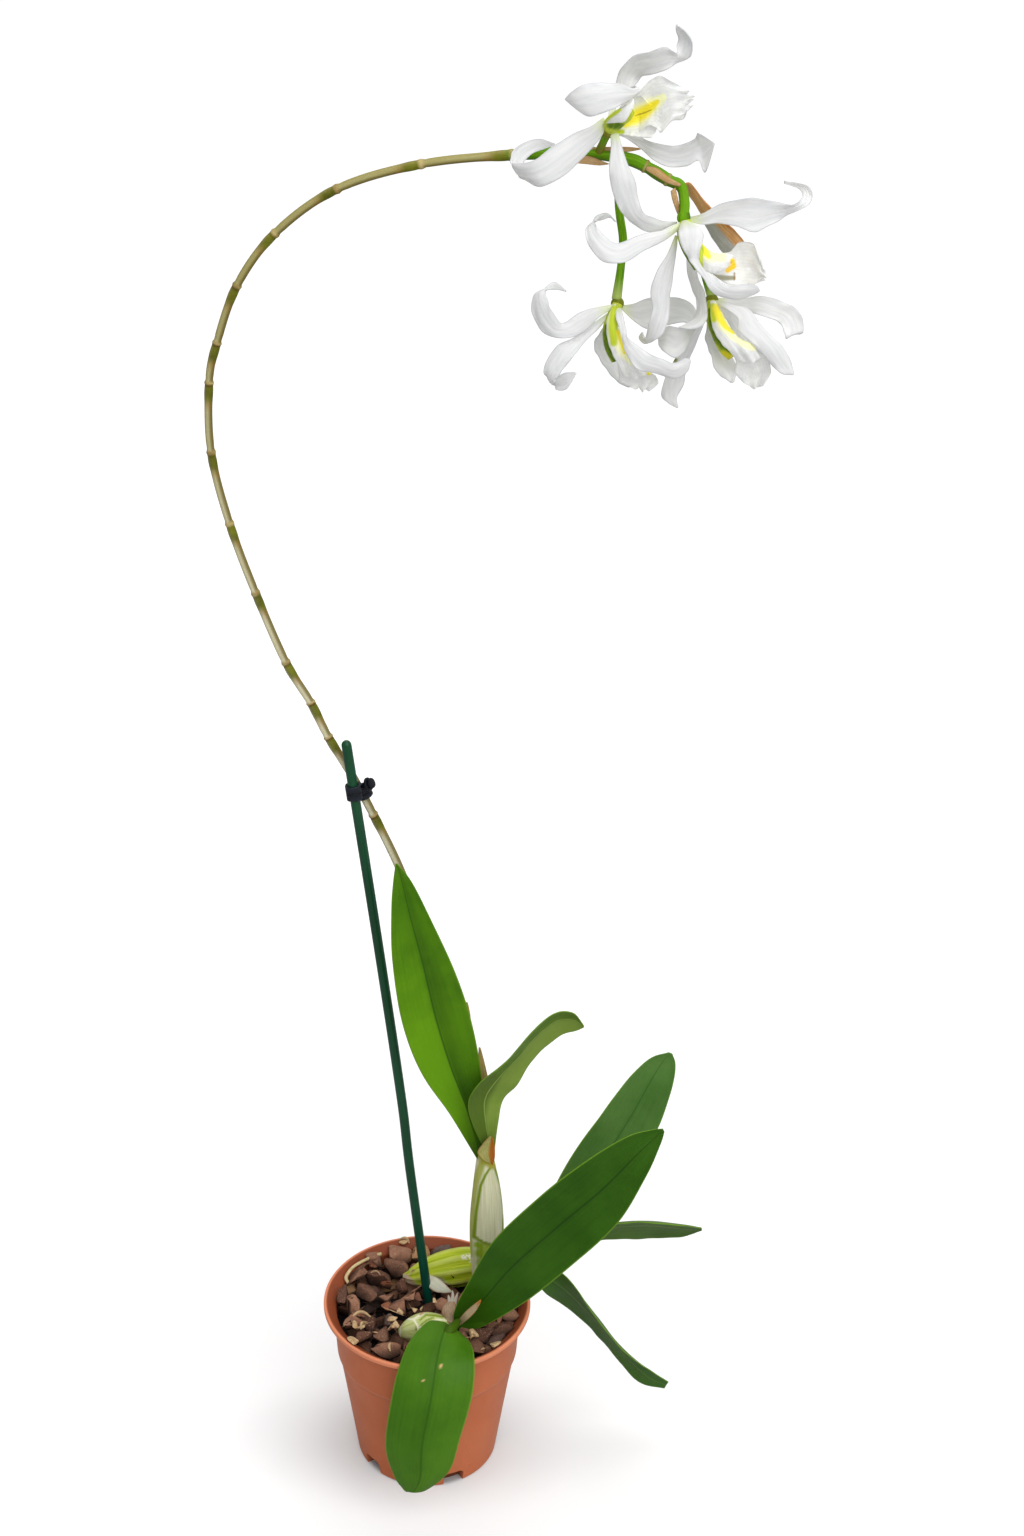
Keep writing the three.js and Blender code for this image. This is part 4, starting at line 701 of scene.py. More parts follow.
class Sketch:
    """Adds nodes to one tree. An input takes a number, a colour or another node's output."""

    def __init__(self, tree):
        self.tree = tree

    def feed(self, socket, value):
        if isinstance(value, bpy.types.NodeSocket):
            self.tree.links.new(value, socket)
        else:
            socket.default_value = linear(*value) if socket.type == "RGBA" else value

    def add(self, kind, inputs, out=0, **settings):
        node = self.tree.nodes.new(kind)
        for name, value in settings.items():
            setattr(node, name, value)
        for key, value in inputs.items():
            self.feed(node.inputs[key], value)
        return node.outputs[out]

    def mark(self, name):
        return self.add("ShaderNodeAttribute", {}, "Fac", attribute_name=name)

    def math(self, operation, a, b=0.0):
        return self.add("ShaderNodeMath", {0: a, 1: b}, operation=operation)

    def times(self, a, b):
        return self.math("MULTIPLY", a, b)

    def plus(self, a, b):
        return self.math("ADD", a, b)

    def less(self, a, b):
        return self.math("SUBTRACT", a, b)

    def rise(self, value, low, high, top=1.0):
        inputs = {"Value": value, "From Min": low, "From Max": high, "To Min": 0.0, "To Max": top}
        return self.add("ShaderNodeMapRange", inputs, interpolation_type="SMOOTHSTEP")

    def mix(self, share, a, b):
        return self.add("ShaderNodeMix", {0: share, 6: a, 7: b}, 2, data_type="RGBA")

    def areas(self, paint, **colours):
        """The paint with the colour of each mark over it, where the mark is, one by one."""
        for name, over in colours.items():
            paint = self.mix(self.mark(name), paint, over)
        return paint

    def place(self):
        return self.add("ShaderNodeTexCoord", {}, "Object")

    def part(self, vector, axis):
        return self.add("ShaderNodeSeparateXYZ", {0: vector}, axis)

    def noise(self, vector, scale, detail=3.0, roughness=0.5):
        inputs = {"Vector": vector, "Scale": scale, "Detail": detail, "Roughness": roughness}
        return self.add("ShaderNodeTexNoise", inputs)

    def joint(self, x, y, z=0.0):
        return self.add("ShaderNodeCombineXYZ", {0: x, 1: y, 2: z})

    def bump(self, height, distance, strength=1.0):
        inputs = {"Height": height, "Distance": distance, "Strength": strength}
        return self.add("ShaderNodeBump", inputs)

    def group(self, shared, **inputs):
        node = self.tree.nodes.new("ShaderNodeGroup")
        node.node_tree = shared
        for key, value in inputs.items():
            self.feed(node.inputs[key], value)
        return node.outputs[0]

    def cloud(self, scale):
        """Cloudy patches; scale is how many of them a metre holds."""
        return self.group(MOTTLE, Scale=scale)

    def on_blade(self, shared, count):
        """A shared pattern with count lines across a blade, which follow it."""
        return self.group(shared, Across=self.mark("across"), Along=self.mark("share"), Count=count)

    def on_tube(self, count, slow):
        """Streaks on a tube; slow is how much of a streak passes in a millimetre of its length."""
        along = self.times(self.mark("distance"), slow)
        sides = {"Side X": self.mark("side_x"), "Side Y": self.mark("side_y")}
        return self.group(ROUND_STREAKS, **sides, Along=along, Count=count)

    def edge(self, start, strength):
        """A share that rises to strength at a blade's two edges, from start on."""
        return self.rise(self.math("ABSOLUTE", self.mark("across")), start, 1.0, strength)


# %% [markdown]
# ## Shared patterns
# Streaks, cloudy patches and veins are used by many materials, so each is built once as a node
# group with named inputs, and placed in each material with its own values.


# %% Shared patterns
def shared_group(name, build, **inputs):
    """A node group with number inputs and one output called Value, made by build(sketch, input)."""
    tree = bpy.data.node_groups.new(name, "ShaderNodeTree")
    for key, value in inputs.items():
        socket = tree.interface.new_socket(key, in_out="INPUT", socket_type="NodeSocketFloat")
        socket.default_value = value
    tree.interface.new_socket("Value", in_out="OUTPUT", socket_type="NodeSocketFloat")
    start = tree.nodes.new("NodeGroupInput")
    end = tree.nodes.new("NodeGroupOutput")
    tree.links.new(build(Sketch(tree), start.outputs), end.inputs[0])
    return tree


def streaks(sketch, given):
    """Noise drawn out along a piece: fine across it and slow along it."""
    across = sketch.times(given["Across"], given["Count"])
    vector = sketch.joint(across, sketch.times(given["Along"], 3.0))
    return sketch.rise(sketch.noise(vector, 1.0, 4.0, 0.6), 0.3, 0.7)


def mottle(sketch, given):
    """Soft cloudy patches in the frame's own space."""
    return sketch.rise(sketch.noise(sketch.place(), given["Scale"], 4.0, 0.55), 0.3, 0.7)


def round_streaks(sketch, given):
    """Streaks along a round piece, without a seam, from the side's cosine and sine."""
    x = sketch.times(given["Side X"], given["Count"])
    y = sketch.times(given["Side Y"], given["Count"])
    return sketch.rise(sketch.noise(sketch.joint(x, y, given["Along"]), 1.0, 4.0, 0.6), 0.3, 0.7)


def veins(sketch, given):
    """Fine lines along a blade: a thin line at each turn of a cosine across it, bent by noise."""
    sway = sketch.noise(sketch.joint(given["Across"], sketch.times(given["Along"], 2.0)), 2.5, 2.0)
    turn = sketch.times(sketch.plus(given["Across"], sketch.times(sway, 0.25)), given["Count"])
    return sketch.rise(sketch.math("COSINE", turn), 0.72, 1.0)


ROUND_INPUTS = {"Side X": 0.0, "Side Y": 0.0, "Along": 0.0, "Count": 6.0}
STREAKS = shared_group("streaks", streaks, Across=0.0, Along=0.0, Count=12.0)
MOTTLE = shared_group("mottle", mottle, Scale=60.0)
ROUND_STREAKS = shared_group("round_streaks", round_streaks, **ROUND_INPUTS)
VEINS = shared_group("veins", veins, Across=0.0, Along=0.0, Count=30.0)
print("shared groups:", [tree.name for tree in bpy.data.node_groups])

# %% [markdown]
# ## Leaf and petal materials
# A leaf is green with streaks along it, a line at its midrib and a thin paler rim. Petals are
# white and thin, and light passes through them. They also give out a little of their own
# colour, a painted glow that lifts their shadows, and their edges and broad soft bands are
# painted grey as painted shade. Both read the marks across, share and under.


# %% Leaf and petal materials
def material(name, paint, *details):
    """A material whose Principled shader gets what paint(sketch) gives, by input name."""
    made = bpy.data.materials.new(name)
    made.use_nodes = True
    sketch = Sketch(made.node_tree)
    shader = made.node_tree.nodes["Principled BSDF"]
    for key, value in paint(sketch, *details).items():
        sketch.feed(shader.inputs[key], value)
    return made


def leaf_paint(sketch, top, light, rib, underside, gloss):
    streak = sketch.on_blade(STREAKS, 14.0)
    fine = sketch.on_blade(STREAKS, 70.0)
    cloud = sketch.cloud(30.0)
    blend = sketch.plus(sketch.times(streak, 0.14), sketch.times(cloud, 0.5))
    # The light mark mixes in the lighter green: a painted lit half or highlight.
    paint = sketch.mix(sketch.plus(blend, sketch.times(sketch.mark("light"), 0.9)), top, light)
    paint = sketch.mix(sketch.times(fine, 0.06), paint, light)
    paint = sketch.mix(sketch.times(sketch.mark("under"), 0.8), paint, underside)
    # dark: painted shade on shaded halves, folds and feet of leaves.
    paint = sketch.areas(paint, dull=(86, 112, 34), dark=(30, 64, 2))
    middle = sketch.math("ABSOLUTE", sketch.mark("across"))
    line = sketch.less(1.0, sketch.rise(middle, 0.0, 0.05))
    paint = sketch.mix(sketch.times(line, 0.75), paint, rib)
    paint = sketch.mix(sketch.edge(0.955, 0.85), paint, (112, 150, 40))
    height = sketch.plus(sketch.times(fine, 0.4), sketch.times(streak, 0.6))
    return {
        "Base Color": sketch.areas(paint, tan=(226, 184, 132)),
        "Roughness": sketch.plus(sketch.times(cloud, 0.12), gloss),
        "Specular IOR Level": 0.12,
        "Normal": sketch.bump(height, 0.00014, 0.5),
        "Subsurface Weight": 0.08,
        "Subsurface Radius": (0.3, 0.6, 0.1),
        "Subsurface Scale": 0.003,
    }


def thin_white(paint, glow, rough, normal, passed):
    """The shader's inputs for a petal or lip; passed is how far red, green and blue light go."""
    return {
        "Base Color": paint,
        # Emission: painted light, a glow of the petal's own colour that lifts its shadows.
        "Emission Color": paint,
        "Emission Strength": glow,
        "Roughness": rough,
        "Specular IOR Level": 0.25,
        "Normal": normal,
        "Subsurface Weight": 0.2,
        "Subsurface Radius": passed,
        "Subsurface Scale": 0.0012,
    }


def tepal_paint(sketch):
    line = sketch.on_blade(VEINS, 36.0)
    fine = sketch.on_blade(STREAKS, 30.0)
    # Broad soft grey bands along the tepal: painted shade of its folds.
    paint = sketch.mix(sketch.on_blade(STREAKS, 2.2), (203, 204, 205), (220, 220, 219))
    paint = sketch.mix(sketch.times(line, 0.09), paint, (184, 185, 187))
    paint = sketch.mix(sketch.times(fine, 0.15), paint, (222, 222, 222))
    # Grey towards the edges: painted shade.
    paint = sketch.mix(sketch.edge(0.86, 0.6), paint, (188, 190, 194))
    foot = sketch.less(1.0, sketch.rise(sketch.mark("share"), 0.02, 0.13))
    paint = sketch.mix(sketch.times(foot, 0.65), paint, (214, 224, 170))
    paint = sketch.areas(paint, green=(126, 128, 66))
    height = sketch.plus(sketch.times(line, -1.0), fine)
    return thin_white(paint, 0.12, 0.5, sketch.bump(height, 0.00006, 0.4), (1.0, 0.95, 0.85))


def lip_paint(sketch):
    line = sketch.on_blade(VEINS, 40.0)
    fine = sketch.on_blade(STREAKS, 40.0)
    paint = sketch.mix(sketch.cloud(220.0), (216, 217, 216), (230, 230, 228))
    paint = sketch.mix(sketch.times(line, 0.25), paint, (196, 197, 190))
    # Grey towards the edges: painted shade.
    paint = sketch.mix(sketch.edge(0.9, 0.5), paint, (190, 191, 190))
    paint = sketch.areas(
        paint,
        cream=(240, 240, 186),
        green=sketch.mix(fine, (160, 182, 22), (206, 218, 60)),
        yellow=sketch.mix(fine, (226, 208, 16), (242, 230, 70)),
        orange=sketch.mix(sketch.times(line, 0.8), (246, 204, 24), (214, 150, 20)),
        shade=(150, 148, 124),
    )
    paint = sketch.mix(sketch.times(sketch.mark("brown"), 0.7), paint, (130, 96, 30))
    height = sketch.plus(sketch.times(line, -1.0), sketch.times(fine, 0.6))
    return thin_white(paint, 0.18, 0.42, sketch.bump(height, 0.00015, 0.5), (1.0, 0.9, 0.6))


TEPAL_WHITE = material("tepal_white", tepal_paint)
LIP_WHITE = material("lip_white", lip_paint)
print("flower materials:", TEPAL_WHITE.name, LIP_WHITE.name)

# %% [markdown]
# ## Column and stem materials
# The round pieces read side_x and side_y, the cosine and sine of the turn round the route, and
# distance, the millimetres along it: noise on these three has no seam. The spike's dry sheaths
# are pale at the foot and browner higher up, and the fresh stem near the flowers is green. One
# side of the spike is darker, and the sheaths' other edge olive: painted shade.


# %% Column and stem materials
def column_paint(sketch):
    streak = sketch.on_tube(3.0, 0.35)
    paint = sketch.areas(
        sketch.mix(streak, (170, 190, 34), (206, 218, 70)),
        dark=sketch.mix(streak, (78, 112, 12), (120, 150, 26)),
        cream=(232, 232, 186),
        yellow=(232, 222, 40),
        white=(232, 232, 226),
        # grey: a painted shadow behind the first flower's hood.
        grey=(172, 174, 176),
        spot=(60, 56, 24),
    )
    return {
        "Base Color": paint,
        "Roughness": 0.38,
        "Specular IOR Level": 0.2,
        "Normal": sketch.bump(streak, 0.0002, 0.5),
        "Subsurface Weight": 0.15,
        "Subsurface Radius": (0.8, 0.8, 0.3),
        "Subsurface Scale": 0.0012,
    }


def spike_paint(sketch):
    streak = sketch.on_tube(5.0, 0.02)
    fine = sketch.on_tube(12.0, 0.04)
    cloud = sketch.cloud(120.0)
    side = sketch.mark("side_x")
    height = sketch.part(sketch.place(), 2)
    paper = sketch.mix(streak, (216, 208, 168), (240, 236, 208))
    paper = sketch.mix(sketch.rise(height, 0.45, 0.7, 0.85), paper, (156, 148, 80))
    paper = sketch.mix(sketch.times(fine, 0.25), paper, (158, 142, 84))
    # Painted shade: the sheath darker towards side_x = 1, and olive at the other edge.
    paper = sketch.mix(sketch.rise(side, -0.3, 0.7, 0.9), paper, (108, 94, 34))
    paper = sketch.mix(sketch.rise(sketch.less(0.0, side), 0.6, 1.0, 0.5), paper, (140, 130, 66))
    green = sketch.mix(cloud, (76, 84, 2), (112, 118, 16))
    paper = sketch.areas(paper, tinge=(150, 104, 20), before_node=green)
    stem = sketch.mix(streak, (82, 136, 2), (120, 172, 16))
    # Painted shade: the stem darker towards side_x = 1.
    stem = sketch.mix(sketch.rise(side, 0.0, 0.9, 0.75), stem, (56, 92, 2))
    ring = sketch.mix(cloud, (140, 112, 58), (196, 176, 118))
    bumps = sketch.plus(streak, sketch.times(fine, 0.6))
    return {
        "Base Color": sketch.areas(paper, green=stem, node_line=ring, dark_line=(84, 48, 12)),
        "Roughness": 0.45,
        "Specular IOR Level": 0.12,
        "Normal": sketch.bump(bumps, 0.0002, 0.5),
    }


def pedicel_paint(sketch):
    streak = sketch.on_tube(4.0, 0.1)
    paint = sketch.mix(streak, (78, 134, 4), (124, 174, 20))
    foot = sketch.less(1.0, sketch.rise(sketch.mark("distance"), 2.0, 15.0))
    paint = sketch.mix(sketch.times(foot, 0.7), paint, (132, 108, 40))
    paint = sketch.mix(sketch.rise(sketch.mark("share"), 0.8, 1.0, 0.6), paint, (206, 216, 130))
    return {
        "Base Color": paint,
        "Roughness": 0.4,
        "Specular IOR Level": 0.12,
        "Normal": sketch.bump(streak, 0.0002, 0.5),
    }


COLUMN_GREEN = material("column_green", column_paint)
SPIKE_PAPER = material("spike_paper", spike_paint)
PEDICEL_GREEN = material("pedicel_green", pedicel_paint)
print("stem materials:", COLUMN_GREEN.name, SPIKE_PAPER.name, PEDICEL_GREEN.name)

# %% [markdown]
# ## Dry and swollen parts
# Bulbs show bare green skin where the dry paper is gone, with lines, scars and husks drawn on.
# Bracts are streaked tan paper. Roots and scraps are cream with streaks along them.


# %% Bulb, bract and root materials
def bulb_paint(sketch, low, high, rib):
    streak = sketch.on_tube(5.0, 0.03)
    fine = sketch.on_tube(22.0, 0.02)
    body = sketch.mix(streak, low, high)
    body = sketch.mix(sketch.times(sketch.mark("rib"), 0.6), body, rib)
    body = sketch.mix(sketch.times(sketch.cloud(90.0), 0.3), body, low)
    paper = sketch.mix(streak, (220, 218, 178), (243, 241, 212))
    paper = sketch.mix(sketch.times(fine, 0.5), paper, (182, 184, 132))
    paint = sketch.areas(
        body,
        paper=sketch.areas(paper, tinge=(178, 182, 92)),
        line=(122, 146, 14),
        olive=(172, 168, 58),
        orange=(196, 118, 34),
        ridge=(246, 242, 212),
        tan=(206, 160, 112),
        grey=sketch.mix(fine, (150, 162, 128), (196, 202, 178)),
    )
    flake = sketch.rise(sketch.noise(sketch.place(), 700.0, 3.0), 0.42, 0.5)
    paint = sketch.mix(sketch.times(sketch.mark("scar"), flake), paint, (236, 234, 214))
    height = sketch.plus(streak, sketch.times(fine, 0.8))
    return {
        "Base Color": sketch.areas(paint, husk=sketch.mix(fine, (150, 116, 84), (214, 196, 166))),
        "Roughness": sketch.plus(sketch.times(sketch.mark("paper"), 0.16), 0.38),
        "Specular IOR Level": 0.2,
        "Normal": sketch.bump(height, 0.0003, 0.6),
        "Subsurface Weight": 0.08,
        "Subsurface Scale": 0.002,
    }


def bract_paint(sketch, pale, strong, inside):
    streak = sketch.on_blade(STREAKS, 12.0)
    fine = sketch.on_blade(VEINS, 30.0)
    paint = sketch.mix(streak, pale, strong)
    paint = sketch.mix(sketch.times(fine, 0.4), paint, (150, 98, 50))
    paint = sketch.mix(sketch.times(sketch.cloud(200.0), 0.25), paint, (240, 218, 180))
    paint = sketch.mix(sketch.edge(0.75, 0.6), paint, (168, 104, 52))
    return {
        "Base Color": sketch.areas(paint, inside=inside, tip=(214, 128, 40)),
        "Roughness": 0.62,
        "Specular IOR Level": 0.2,
        "Normal": sketch.bump(sketch.plus(streak, fine), 0.0003, 0.7),
    }


def root_paint(sketch, pale, cream, tan):
    streak = sketch.on_tube(4.0, 0.15)
    paint = sketch.mix(streak, cream, pale)
    return {
        "Base Color": sketch.mix(sketch.times(sketch.cloud(260.0), 0.5), paint, tan),
        "Roughness": 0.7,
        "Normal": sketch.bump(streak, 0.0003, 0.8),
    }


ROOT_COLOURS = [(244, 230, 184), (216, 192, 128), (184, 150, 88)]
HUSK_COLOURS = [(236, 208, 160), (200, 158, 108), (118, 78, 48)]
ROOT_CREAM = material("root_cream", root_paint, *ROOT_COLOURS)
HUSK_TAN = material("husk_tan", root_paint, *HUSK_COLOURS)
print("root materials:", ROOT_CREAM.name, HUSK_TAN.name)

# %% [markdown]
# ## Pot, bark, stake and clip materials
# The pot, bark, stake, clip and floor are coloured in the frame's own space. The pot has a faint
# painted highlight along the crease at CREASE_HEIGHT, in metres, a painted highlight on its rim,
# painted shade on its inner wall and in its slots, and dust at its foot. The bark's sides and
# undersides are painted darker than its tops, as painted shade.


# %% Pot, bark, stake, clip and floor materials
CREASE_HEIGHT = 0.0704


def pot_paint(sketch):
    grain = sketch.noise(sketch.place(), 1400.0, 2.0)
    paint = sketch.mix(sketch.cloud(14.0), (196, 107, 68), (207, 117, 76))
    paint = sketch.mix(sketch.rise(grain, 0.62, 0.7, 0.25), paint, (160, 84, 58))
    # rim: a painted highlight on the rim's top.
    paint = sketch.areas(paint, rim=(226, 140, 102))
    # A painted highlight: a thin pale line along the crease at CREASE_HEIGHT.
    off = sketch.math("ABSOLUTE", sketch.less(sketch.part(sketch.place(), 2), CREASE_HEIGHT))
    crease_highlight = sketch.less(1.0, sketch.rise(off, 0.0002, 0.0008))
    paint = sketch.mix(sketch.times(crease_highlight, 0.3), paint, (226, 150, 116))
    dust = sketch.rise(sketch.noise(sketch.place(), 420.0, 4.0, 0.7), 0.64, 0.74)
    dusty = sketch.times(sketch.mark("foot"), sketch.times(dust, 0.6))
    paint = sketch.mix(dusty, paint, (120, 66, 46))
    return {
        # inner: painted shade on the inner wall; deep: painted shade in the drain slots.
        "Base Color": sketch.areas(paint, inner=(140, 70, 42), deep=(52, 28, 20)),
        "Roughness": sketch.plus(sketch.times(sketch.cloud(70.0), 0.08), 0.4),
        "Specular IOR Level": 0.18,
        "Normal": sketch.bump(grain, 0.00012, 0.35),
    }


def bark_paint(sketch):
    speck = sketch.noise(sketch.place(), 1500.0, 3.0, 0.7)
    grain = sketch.noise(sketch.place(), 260.0, 5.0, 0.65)
    paint = sketch.mix(sketch.mark("tone"), (78, 50, 38), (170, 124, 98))
    paint = sketch.areas(paint, grey=(90, 82, 80), red=(146, 84, 54))
    paint = sketch.mix(sketch.rise(grain, 0.4, 0.7, 0.5), paint, (84, 52, 40))
    paint = sketch.mix(sketch.rise(speck, 0.56, 0.68, 0.5), paint, (204, 172, 148))
    paint = sketch.areas(paint, pale=(180, 138, 92))
    # Painted shade: faces that turn away from up are darkened.
    upward = sketch.part(sketch.add("ShaderNodeTexCoord", {}, "Normal"), 2)
    turned = sketch.less(1.0, sketch.rise(upward, -0.15, 0.75))
    paint = sketch.mix(sketch.times(turned, 0.75), paint, (30, 18, 14))
    return {
        # deep: painted shade between the chunks and under their middles.
        "Base Color": sketch.areas(paint, deep=(14, 8, 6)),
        "Roughness": sketch.less(0.78, sketch.times(sketch.mark("grey"), 0.35)),
        "Specular IOR Level": 0.2,
        "Normal": sketch.bump(sketch.plus(sketch.times(speck, 0.5), grain), 0.0006, 0.8),
    }


def stake_paint(sketch):
    stretch = {"Vector": sketch.place(), "Scale": (700.0, 700.0, 18.0)}
    line = sketch.noise(sketch.add("ShaderNodeMapping", stretch), 1.0, 2.0)
    paint = sketch.mix(sketch.cloud(24.0), (10, 62, 36), (20, 74, 46))
    paint = sketch.areas(paint, low=(4, 66, 54))
    return {
        "Base Color": sketch.mix(sketch.rise(line, 0.5, 0.75, 0.2), paint, (54, 104, 76)),
        "Roughness": 0.3,
        "Specular IOR Level": 0.25,
        "Normal": sketch.bump(line, 0.0001, 0.4),
    }


def clip_paint(sketch):
    grain = sketch.noise(sketch.place(), 900.0, 3.0)
    paint = sketch.mix(grain, (8, 10, 16), (20, 24, 32))
    return {
        # edge: the collars' chamfered corners painted lighter, a painted highlight.
        "Base Color": sketch.areas(paint, edge=(44, 50, 60)),
        "Roughness": 0.35,
        "Specular IOR Level": 0.2,
        "Normal": sketch.bump(grain, 0.0001, 0.4),
    }


def floor_paint(sketch):
    """A white sheet that glows for the camera alone, so that it shows white. Round the pot the
    glow is less in a wide oval, a painted shadow, and under the pot there is none."""
    place = sketch.place()
    glow = sketch.plus(0.49, sketch.rise(sketch.part(place, 1), -0.1, 1.2, 0.28))
    # A painted shadow: the glow is cut back in a wide oval round the pot.
    wide = sketch.add("ShaderNodeMapping", {"Vector": place, "Scale": (1.0, 2.0, 1.0)})
    beside = sketch.add("ShaderNodeVectorMath", {0: wide}, "Value", operation="LENGTH")
    near = sketch.less(1.0, sketch.rise(beside, 0.03, 0.14))
    glow = sketch.times(glow, sketch.less(1.0, sketch.times(near, 0.55)))
    away = sketch.add("ShaderNodeVectorMath", {0: place}, "Value", operation="LENGTH")
    glow = sketch.times(glow, sketch.rise(away, 0.0385, 0.0425))
    seen = sketch.add("ShaderNodeLightPath", {}, "Is Camera Ray")
    return {
        "Base Color": sketch.mix(sketch.noise(place, 30.0, 2.0), (192, 192, 192), (196, 196, 196)),
        "Roughness": 0.8,
        "Specular IOR Level": 0.1,
        "Emission Color": (255, 255, 255),
        "Emission Strength": sketch.times(seen, glow),
    }


POT_PLASTIC = material("pot_terracotta", pot_paint)
BARK_RED = material("bark_red", bark_paint)
STAKE_GREEN = material("stake_green", stake_paint)
CLIP_DARK = material("clip_dark", clip_paint)
FLOOR_WHITE = material("floor_white", floor_paint)
print("materials:", len(bpy.data.materials))

# %% [markdown]
# ## The pot
# A thin moulded nursery pot has a tapering wall, a shoulder, a collar and a flanged rim. It is
# one profile turned round the axis. Five drain slots are let into the foot: columns of the wall
# are moved to both sides of each slot, and the columns between them are pushed in.


# %% Pot
POT_HEIGHT = 103
RIM_RADIUS = 60
RIM_FOOT = 100.2
OPENING_RADIUS = 58.1
COLLAR_TOP = (54.5, 99)
COLLAR_FOOT = (52.5, 70.4)
SHOULDER = (51, 67.4)
BASE_RADIUS = 41
WALL = 1.7
SLOT_ANGLES = [-50, 22, 94, 166, 238]
SLOT_HALF = 6
SLOT_HEIGHT = 8.6
SLOT_SHOULDER = 6.6
SLOT_BACK = 36
SLOT_EDGE = 0.06
SLOT_ROOM = 8
WALL_SLOPE = 0.147
POT_OUTSIDE = [
    (BASE_RADIUS, 0, 0.8),
    (*SHOULDER, 1),
    (*COLLAR_FOOT, 1),
    (*COLLAR_TOP, 0.5),
    (RIM_RADIUS, RIM_FOOT, 0.7),
    (RIM_RADIUS, POT_HEIGHT, 0.8),
    (OPENING_RADIUS, POT_HEIGHT, 0.7),
    (COLLAR_TOP[0] - WALL, COLLAR_TOP[1] - 0.5, 0.6),
    (COLLAR_FOOT[0] - WALL, COLLAR_FOOT[1] - 0.5, 0.6),
    (SHOULDER[0] - WALL, SHOULDER[1] - 0.8, 0.3),
    (BASE_RADIUS - WALL + 1, 8, 0.6),
]


def rounded(profile):
    """Corners (radius, height, cut) turned into arcs: a corner becomes the quadratic curve
    between the points that lie cut before it and cut after it."""
    corners = np.array([row[:2] for row in profile], float)
    made = []
    for i, (across, up, cut) in enumerate(profile):
        corner = corners[i]
        before = corners[i - 1] if i else np.array([0.0, up])
        after = corners[i + 1] if i + 1 < len(corners) else np.array([0.0, up])
        start = corner + unit(before - corner) * cut
        end = corner + unit(after - corner) * cut
        for t in np.linspace(0, 1, 5):
            made.append(start * (1 - t) ** 2 + 2 * corner * t * (1 - t) + end * t**2)
    return np.array(made)


def pot_body():
    """The turned wall with its slots. In a slot the wall stands at SLOT_BACK, and a slot is
    narrower by the height above SLOT_SHOULDER, which cuts its upper corners off."""
    profile = rounded(POT_OUTSIDE)
    steps = (2, 4, SLOT_SHOULDER, 7.3, 8, SLOT_HEIGHT - 0.03, SLOT_HEIGHT + 0.03)
    extra = [[BASE_RADIUS + z * WALL_SLOPE, z] for z in steps]
    wall = [[BASE_RADIUS + z * WALL_SLOPE, z] for z in np.linspace(10, 50, 9)]
    profile = np.vstack([profile[:5], extra, wall, profile[5:]])
    height = profile[:, 1:2]
    half = SLOT_HALF - np.clip(height - SLOT_SHOULDER, 0, 2)
    plain = np.linspace(0, 360, 144, endpoint=False)
    near = np.min([np.abs((plain - slot + 180) % 360 - 180) for slot in SLOT_ANGLES], axis=0)
    columns = [(angle, 0, 0) for angle in plain[near > SLOT_ROOM]]
    edge = 1 + SLOT_EDGE / SLOT_HALF
    for slot in SLOT_ANGLES:
        columns += [(slot, -edge, 0), (slot, -1, 1), (slot, 0, 1), (slot, 1, 1), (slot, edge, 0)]
    columns.sort(key=lambda row: (row[0] + SLOT_ROOM * row[1]) % 360)
    middle, offset, pushed = np.array(columns).T[:, None, :]
    angle = np.radians(middle) + offset * half / BASE_RADIUS
    outer = np.arange(len(profile))[:, None] < 5 + len(extra) + len(wall)
    in_slot = (pushed > 0) & (height < SLOT_HEIGHT) & outer
    radius = np.where(in_slot, SLOT_BACK, profile[:, 0:1])
    rings = np.stack([radius * np.sin(angle), -radius * np.cos(angle), height + 0 * radius], 2)
    marks = {
        # rim, inner and deep are painted light and shade: a highlight on the rim, shade on the inner wall
        # and in the slots.
        "rim": ease(height, 99.6, 100.4) * ease(profile[:, 0:1], 56, 57.4),
        "inner": ease(np.arange(len(profile))[:, None], len(profile) - 26, len(profile) - 22),
        "foot": 1 - ease(height, 3, 30),
        "deep": 0.8 * in_slot.astype(float),
    }
    return lofted(rings, marks)


piece("pot_wall", pot_body(), "pot", POT_PLASTIC, sharp=38)
print("pot made")

# %% [markdown]
# ## The bark
# Orchids grow in loose bark. A dark dome fills the pot, and seeded chunks lie over it in two
# layers. The dome, the lower layer and each chunk's lower half are darkened as painted shade. A
# chunk is the convex hull of a few random points, with its edges bevelled: that gives the flat
# faces and blunt corners of broken bark with few triangles. Each has its own tone.

# %% Chunks
BARK_TOP = 94
UPPER_CHUNKS = 56
LOWER_CHUNKS = 58
SMALL_CHUNKS = 16
CHUNK_SIZE = 8.2
CHUNK_SPACING = 14.2
WALL_ROOM = 54.2
LUMP = (1.3, 0.95, 0.72)
FLAKE = (1.35, 0.8, 0.42)
CHIP = (1.35, 0.85, 0.5)
BULB_ROOM = [(-12, 75, 9), (-11, 83, 7), (19, 111, 7), (10, 109, 5), (0.8, 98.5, 5)]


def turns(turn, tilt):
    """The matrix that tilts points about x, and then turns them about z."""
    tilted = [[1, 0, 0], [0, np.cos(tilt), np.sin(tilt)], [0, -np.sin(tilt), np.cos(tilt)]]
    turned = [[np.cos(turn), np.sin(turn), 0], [-np.sin(turn), np.cos(turn), 0], [0, 0, 1]]
    return np.array(tilted) @ np.array(turned)


